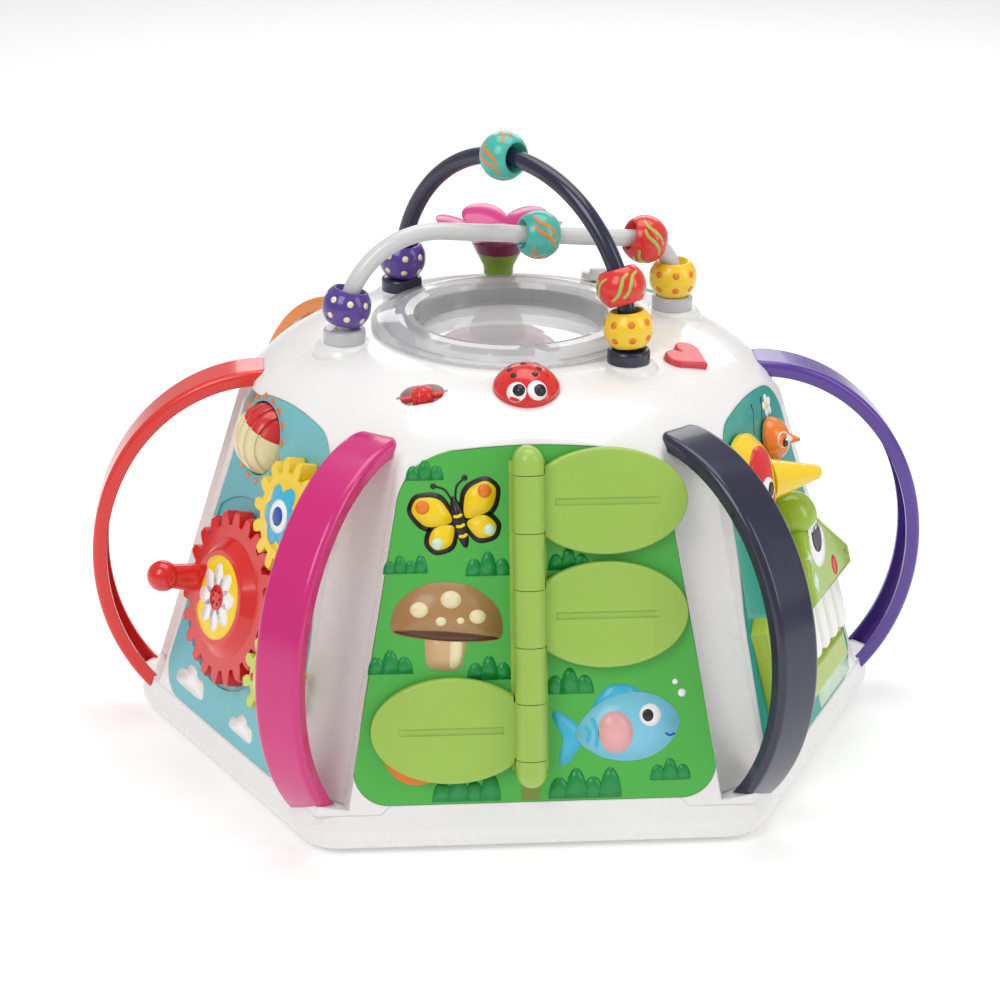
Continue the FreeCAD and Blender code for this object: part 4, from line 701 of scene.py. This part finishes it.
def butterfly(spot):
    for side in (-1, 1):
        for length, width, angle in ((25, 19, 38), (19, 16, -30)):
            turn = 90 - side * (90 - angle)
            fill("wing_edge", spot, petal(length, width, side * 1.5, 0, turn), "black")
            inner = petal(length - 4.5, width - 5, side * 3.4, math.sin(rad(angle)) * 2.2, turn)
            fill("wing", spot, inner, "yellow", level=1)
        fill("wing_spot", spot, ellipse(side * 15.5, 11.5, 3.4), "orange", level=2)
        fill("wing_spot", spot, ellipse(side * 13.0, -7.4, 2.8), "mint", level=2)
        stroke("feeler", spot, [(side * 0.8, 11), (side * 3.0, 17), (side * 7.5, 20)], 1.0,
               "black", level=2)
        fill("feeler_tip", spot, ellipse(side * 7.8, 20.1, 1.4, count=20), "black", level=3)
    fill("insect_body", spot, ellipse(0, 0, 3.1, 13.0), "black", level=2)
    for y in (-6.5, -1.5, 3.5):
        stroke("body_band", spot, [(-2.2, y), (0, y - 0.7), (2.2, y)], 1.5, "yellow", level=3)


def mushroom(spot):
    fill("stalk", spot, smooth([(-8.5, -1), (8.5, -1), (9.5, -12), (7.5, -19), (0, -20.5),
                                (-7.5, -19), (-9.5, -12)]), "tan")
    fill("stalk_shade", spot, smooth([(2.5, -3), (7.4, -3), (8.4, -12), (6.6, -17.6),
                                      (3.0, -18)]), "cream", level=1)
    fill("mushroom_cap", spot, smooth([(-27, -1), (-24.5, 11), (-14, 20), (0, 23), (14, 20),
                                       (24.5, 11), (27, -1), (21, -4.6), (0, -6),
                                       (-21, -4.6)]), "brown", level=1)
    fill("cap_foot", spot, smooth([(-24, -2.4), (0, -1.2), (24, -2.4), (20, -4.4), (0, -5.8),
                                   (-20, -4.4)]), "dark_brown", level=2)
    for x, y, r in ((-14, 8.5, 4.4), (1, 14.5, 5.0), (14.5, 7, 4.0), (-3, 3.5, 2.6),
                    (6.5, 4.5, 1.9)):
        fill("cap_spot", spot, ellipse(x, y, r, r * 0.86), "cream", level=2)


def fish(spot):
    fill("fish_tail", spot, smooth([(-19, 0), (-29, 13), (-33, 11), (-29.5, 0), (-33, -11),
                                    (-29, -13)]), "cyan")
    fill("fish_fin", spot, smooth([(-12, 12), (-4, 21.5), (8, 20), (10, 13)]), "cyan")
    fill("fish_body", spot, smooth([(-23, 0), (-12, 12.5), (5, 17), (20, 12.5), (28.5, 0),
                                    (20, -12.5), (5, -17), (-12, -12.5)]), "sky", level=1)
    fill("fish_cheek", spot, ellipse(-3.5, -1.5, 8.6, 10.5), "pink", level=2)
    for x in (-14.0, -18.0):
        bend = (x + 14) * 0.8
        stroke("fish_band", spot, [(x, 7.5 + bend), (x + 1.6, 0), (x, -7.5 - bend)], 1.8, "cyan",
               level=2)
    eye("fish_eye", spot, 14.5, 4.2, 5.6, (-0.2, 0.0), level=2)
    stroke("fish_mouth", spot, [(20.5, -5.8), (22.6, -7.4), (25.4, -6.8)], 1.1, "blue", level=2)
    for x, y, r in ((31.5, 12.5, 2.0), (29.0, 18.5, 1.4)):
        fill("bubble", spot, ellipse(x, y, r, count=20), "white")


def fruit_under_leaves():
    spot = face_spot("front")
    fill("orange_fruit", spot, ellipse(-57.5, 54, 17.0), "orange")
    fill("orange_leaf", spot, petal(12, 7, -57.5, 69, 30), "lime", level=1)
    apple = face_spot("front", 36, 174)
    fill("apple", apple, smooth([(0, 11), (9, 14), (15.5, 7), (14, -5), (6, -14), (0, -12.5),
                                 (-6, -14), (-14, -5), (-15.5, 7), (-9, 14)]), "red")
    stroke("apple_stalk", apple, [(0, 11), (1.0, 15), (3.4, 18)], 1.8, "dark_brown", level=1)
    for row in range(4):
        for k in range(4 - row):
            grape = ellipse(36 + (k - (3 - row) / 2) * 8.4, 129 - row * 7.4, 4.6, count=24)
            fill("grape", spot, grape, "violet", level=(row + k) % 2)


def front_face():
    spot = face_spot("front")
    stripe = [(-7.2, 27.9), (1.8, 27.9), (1.8, 201.2), (-7.2, 201.2)]
    fill("centre_stripe", spot, stripe, "olive")
    for x, y, size, blades in ((-52, 186, 10, 3), (-62, 141, 9, 4), (-22, 139, 12, 3),
                               (17, 141, 11, 3), (-70, 92, 12, 3), (-22, 88, 12, 3),
                               (17, 80, 13, 3), (-34, 28.2, 14, 4), (24, 28.2, 15, 4),
                               (66, 36, 11, 3), (60, 104, 10, 3)):
        tuft(spot, x, y, size, blades)
    butterfly(face_spot("front", -35.5, 165.5, 14))
    mushroom(face_spot("front", -42.5, 113.5, -5))
    fish(face_spot("front", 42.5, 62.5, 8))
    fruit_under_leaves()


def disc_beside_crank():
    """Outline round the big gear's middle, drawn in where the crank rises."""
    full, narrow = 21.5, 4.5
    outline = []
    for k in range(48):
        angle = 7.5 * k
        off = abs((angle - CRANK_ANGLE + 180) % 360 - 180)
        outline.append(polar(full - narrow * min(1.0, max(0.0, (36 - off) / 10)), angle))
    return outline


def left_face():
    spot = face_spot("left")
    for k in range(16):
        board = spot.turned(360 * (k + 0.5) / 16, BALL[0], BALL[1])
        fill("sun_ray", board, [(20.4, -3.1), (23.9, 0), (20.4, 3.1)], "orange")
    for x, y, size in ((-38, 36, 7.5), (20, 34, 6.0), (48, 118, 5.5)):
        cloud(spot, x, y, size)
    gear = "big_gear"
    board = face_spot("left", *GEARS[gear])
    fill("gear_disc", board, disc_beside_crank(), "yellow", gear, rings=9)
    for k in range(8):
        fill("daisy_petal", board, petal(17.5, 9.4, 0, 0, 45 * k + 12), "white", gear, 1)
    dot("daisy_heart", board, 0, 0, 6.6, "red", gear, 2)
    for k in range(6):
        dot("daisy_seed", board, *polar(3.6, 60 * k), 0.9, "black", gear, 3)
    gear = "middle_gear"
    board = face_spot("left", *GEARS[gear])
    for k in range(6):
        fill("splash", board, petal(16.5, 12, 0, 0, 60 * k + 8), "cyan", gear, rings=4)
    dot("splash_white", board, 0, 0, 8.4, "white", gear, 1)
    dot("splash_blue", board, 0, 0, 4.8, "blue", gear, 2)
    gear = "small_gear"
    board = face_spot("left", *GEARS[gear])
    for k in range(6):
        dot("gear_dot", board, *polar(11.6, 60 * k + 20), 2.1, "red", gear)
    dot("gear_dot", board, 0, 0, 4.0, "red", gear)


def right_face():
    spot = face_spot("right")
    for x, y, height, width in ((-40, 24.5, 56, 48), (34, 24.5, 40, 52)):
        fill("hill", spot, arch(x, y, width * 0.5, height, 9), "mint")
    for x, y, turn in ((18.5, 190.5, 70), (6.0, 191.5, 105)):
        stroke("stem", spot, [(x - 6.5, y - 12), (x - 3.0, y - 5), (x, y)], 0.9, "black")
        fill("stem_bud", spot, petal(4.0, 2.0, x - 0.8, y - 0.8, turn), "black", level=1)
    for k in range(5):
        fill("blossom", spot, petal(6.2, 4.6, 24.5, 187, 72 * k + 20), "white")
    dot("blossom_heart", spot, 24.5, 187, 1.4, "yellow", level=1)
    head = face_spot("right", *PARROT, -14)
    half = [(-17.6, 0), (-15, 10), (-8, 16.5), (0, 18), (6, 16.4), (7.2, 13.2), (4.0, 9.2),
            (1.6, 4.8)]
    patch = smooth(half + [(1.0, 0)] + [(x, -y) for x, y in reversed(half[1:])], 4)
    fill("parrot_patch", head, patch, "red", "parrot_head", rings=7)
    eye("parrot_eye", head, -4.6, -4.4, 6.7, (0.36, 0.06), "parrot_head", 1)
    eye("chick_eye", face_spot("right", *CHICK), -4.2, 0.2, 4.3, (0.1, -0.36), "chick_head")
    crocodile()


def crocodile():
    board, head = face_spot("right", 17), "crocodile_head"
    dot("croc_eye_white", board, -12.6, 117.2, 12.4, "white", head, 0, 0.9)
    dot("croc_eye_pupil", board, -12.0, 120.0, 7.6, "black", head, 1, 0.9)
    fill("croc_cheek", board, ellipse(4.4, 98.6, 3.8, 5.4), "red", head, rings=2)
    dot("nostril", board, 24.0, 98.5, 1.6, "olive", head)
    for x, y, size in ((-24.5, 100.5, 6.4), (-26.5, 114.5, 4.4)):
        fill("scale", board, diamond(x, y, size), "mint", head, rings=2)
    tail = face_spot("right", -54.5)
    for y, size in ((92, 4.6), (80, 5.0), (68, 5.2), (56, 5.0)):
        fill("scale", tail, diamond(0, y, size), "teal", "crocodile_jaw")


def roof():
    distance, angle, radius, centre = LADYBIRD
    spot = roof_spot(distance, angle)

    def print_on(name, x, y, r, color, level=0):
        board = on_dome(spot, x, y, radius, centre)
        dot(name, board, 0, 0, r, color, "ladybird_button", level)

    for y in (-6.1, 4.3):
        print_on("ladybird_eye", 12.3, y, 5.0, "white")
        print_on("ladybird_pupil", 12.0, y + 1.3, 3.1, "black", 1)
    for x, y in ((4.0, -6.9), (4.6, 3.6), (-1.8, -8.3), (-0.6, 5.9), (-8.2, -7.6), (-7.6, 5.4),
                 (-12.4, -1.2), (-4.6, -1.4)):
        print_on("ladybird_dot", x, y, 1.6, "black")


def clock_face():
    spot = face_spot("back", 0, 118)
    dot("dial", spot, 0, 0, 52, "white")
    for r, color, level in ((52, "orange", 1), (49, "cream", 2)):
        fill("dial_ring", spot, ellipse(0, 0, r, count=72), color, level=level)
    for k in range(12):
        color = ("red", "yellow", "cyan", "violet")[k % 4]
        mark = ellipse(42.5, 0, 3.4 if k % 3 == 0 else 2.2, count=24)
        fill("hour_mark", spot.turned(90 - 30 * k), mark, color, level=3)
    for k in range(24):
        stroke("minute_mark", spot.turned(15 * k + 7.5), [(46.2, 0), (48.0, 0)], 0.8, "black",
               level=3, steps=2)
    for x, y, size in ((-72, 36, 12), (66, 36, 12), (-40, 30, 11), (36, 30, 11)):
        tuft(face_spot("back"), x, y, size, 4)


def slider_face():
    track = face_spot("back_left", 0, 112)
    fill("track", track, ellipse(0, 0, 46, 22, count=64), "sky")
    for k in range(7):
        x = -39 + 13 * k
        y = 16.2 - abs(x) * 0.13
        fill("track_dot", track, ellipse(x, y, 2.4, count=24), "yellow", level=1)
        fill("track_dot", track, ellipse(x, -y, 2.4, count=24), "orange", level=1)
    for x, y, size in ((-44, 160, 7), (34, 166, 6), (6, 60, 7)):
        cloud(face_spot("back_left"), x, y, size)


def spinner_face():
    burst = face_spot("back_right", 0, 118)
    for k in range(12):
        color = ("yellow", "orange", "red", "magenta")[k % 4]
        fill("burst", burst, petal(46, 19, 0, 0, 30 * k), color, level=k % 2)
    dot("burst_heart", burst, 0, 0, 14, "white", level=2)


def beads():
    for node in BEADS:
        if "yellow" in node or "purple" in node:
            color, r = ("orange", 1.75) if "yellow" in node else ("cream", 1.65)
            for k in range(8):
                for latitude in (19, -19):
                    dot("bead_dot", bead_board(node, 45 * k + 8, latitude), 0, 0, r, color, node)
        else:
            color = "lime" if "red" in node else "orange"
            for k in range(4):
                for shift in (-2.6, 2.6):
                    wave = [(-5.6 + shift, -5.8), (-2.4 + shift, -3.4), (shift, 0.6),
                            (2.0 + shift, 4.0), (5.4 + shift, 5.8)]
                    stroke("bead_wave", bead_board(node, 90 * k + 12), wave, 1.9, color, node,
                           steps=6, taper=0.35)


# White floor under the part

FLOOR_HALF, FLOOR_GAP = 9.0, 0.0002         # metres
FLOOR_GLOW = 0.18


def stage():
    mesh = bpy.data.meshes.new("floor")
    low = min(corner[2] for corner in cad_box) - FLOOR_GAP
    corners = [(x * FLOOR_HALF, y * FLOOR_HALF, low)
               for x, y in ((-1, -1), (1, -1), (1, 1), (-1, 1))]
    mesh.from_pydata(corners, [], [(0, 1, 2, 3)])
    floor = bpy.data.objects.new("floor", mesh)
    bpy.context.scene.collection.objects.link(floor)
    g = Graph("floor_white")
    white = g.mix(g.noise(3.0), linear((252, 252, 252)), linear((248, 248, 248)))
    g.surface(Base_Color=white, Roughness=g.spread(g.noise(40.0), 0.55, 0.7),
              Specular_IOR_Level=0.25, Emission_Color=(1, 1, 1, 1), Emission_Strength=FLOOR_GLOW)
    mesh.materials.append(g.material)


camera()
studio()
finishes()
front_face()
left_face()
right_face()
roof()
clock_face()
slider_face()
spinner_face()
beads()
stage()
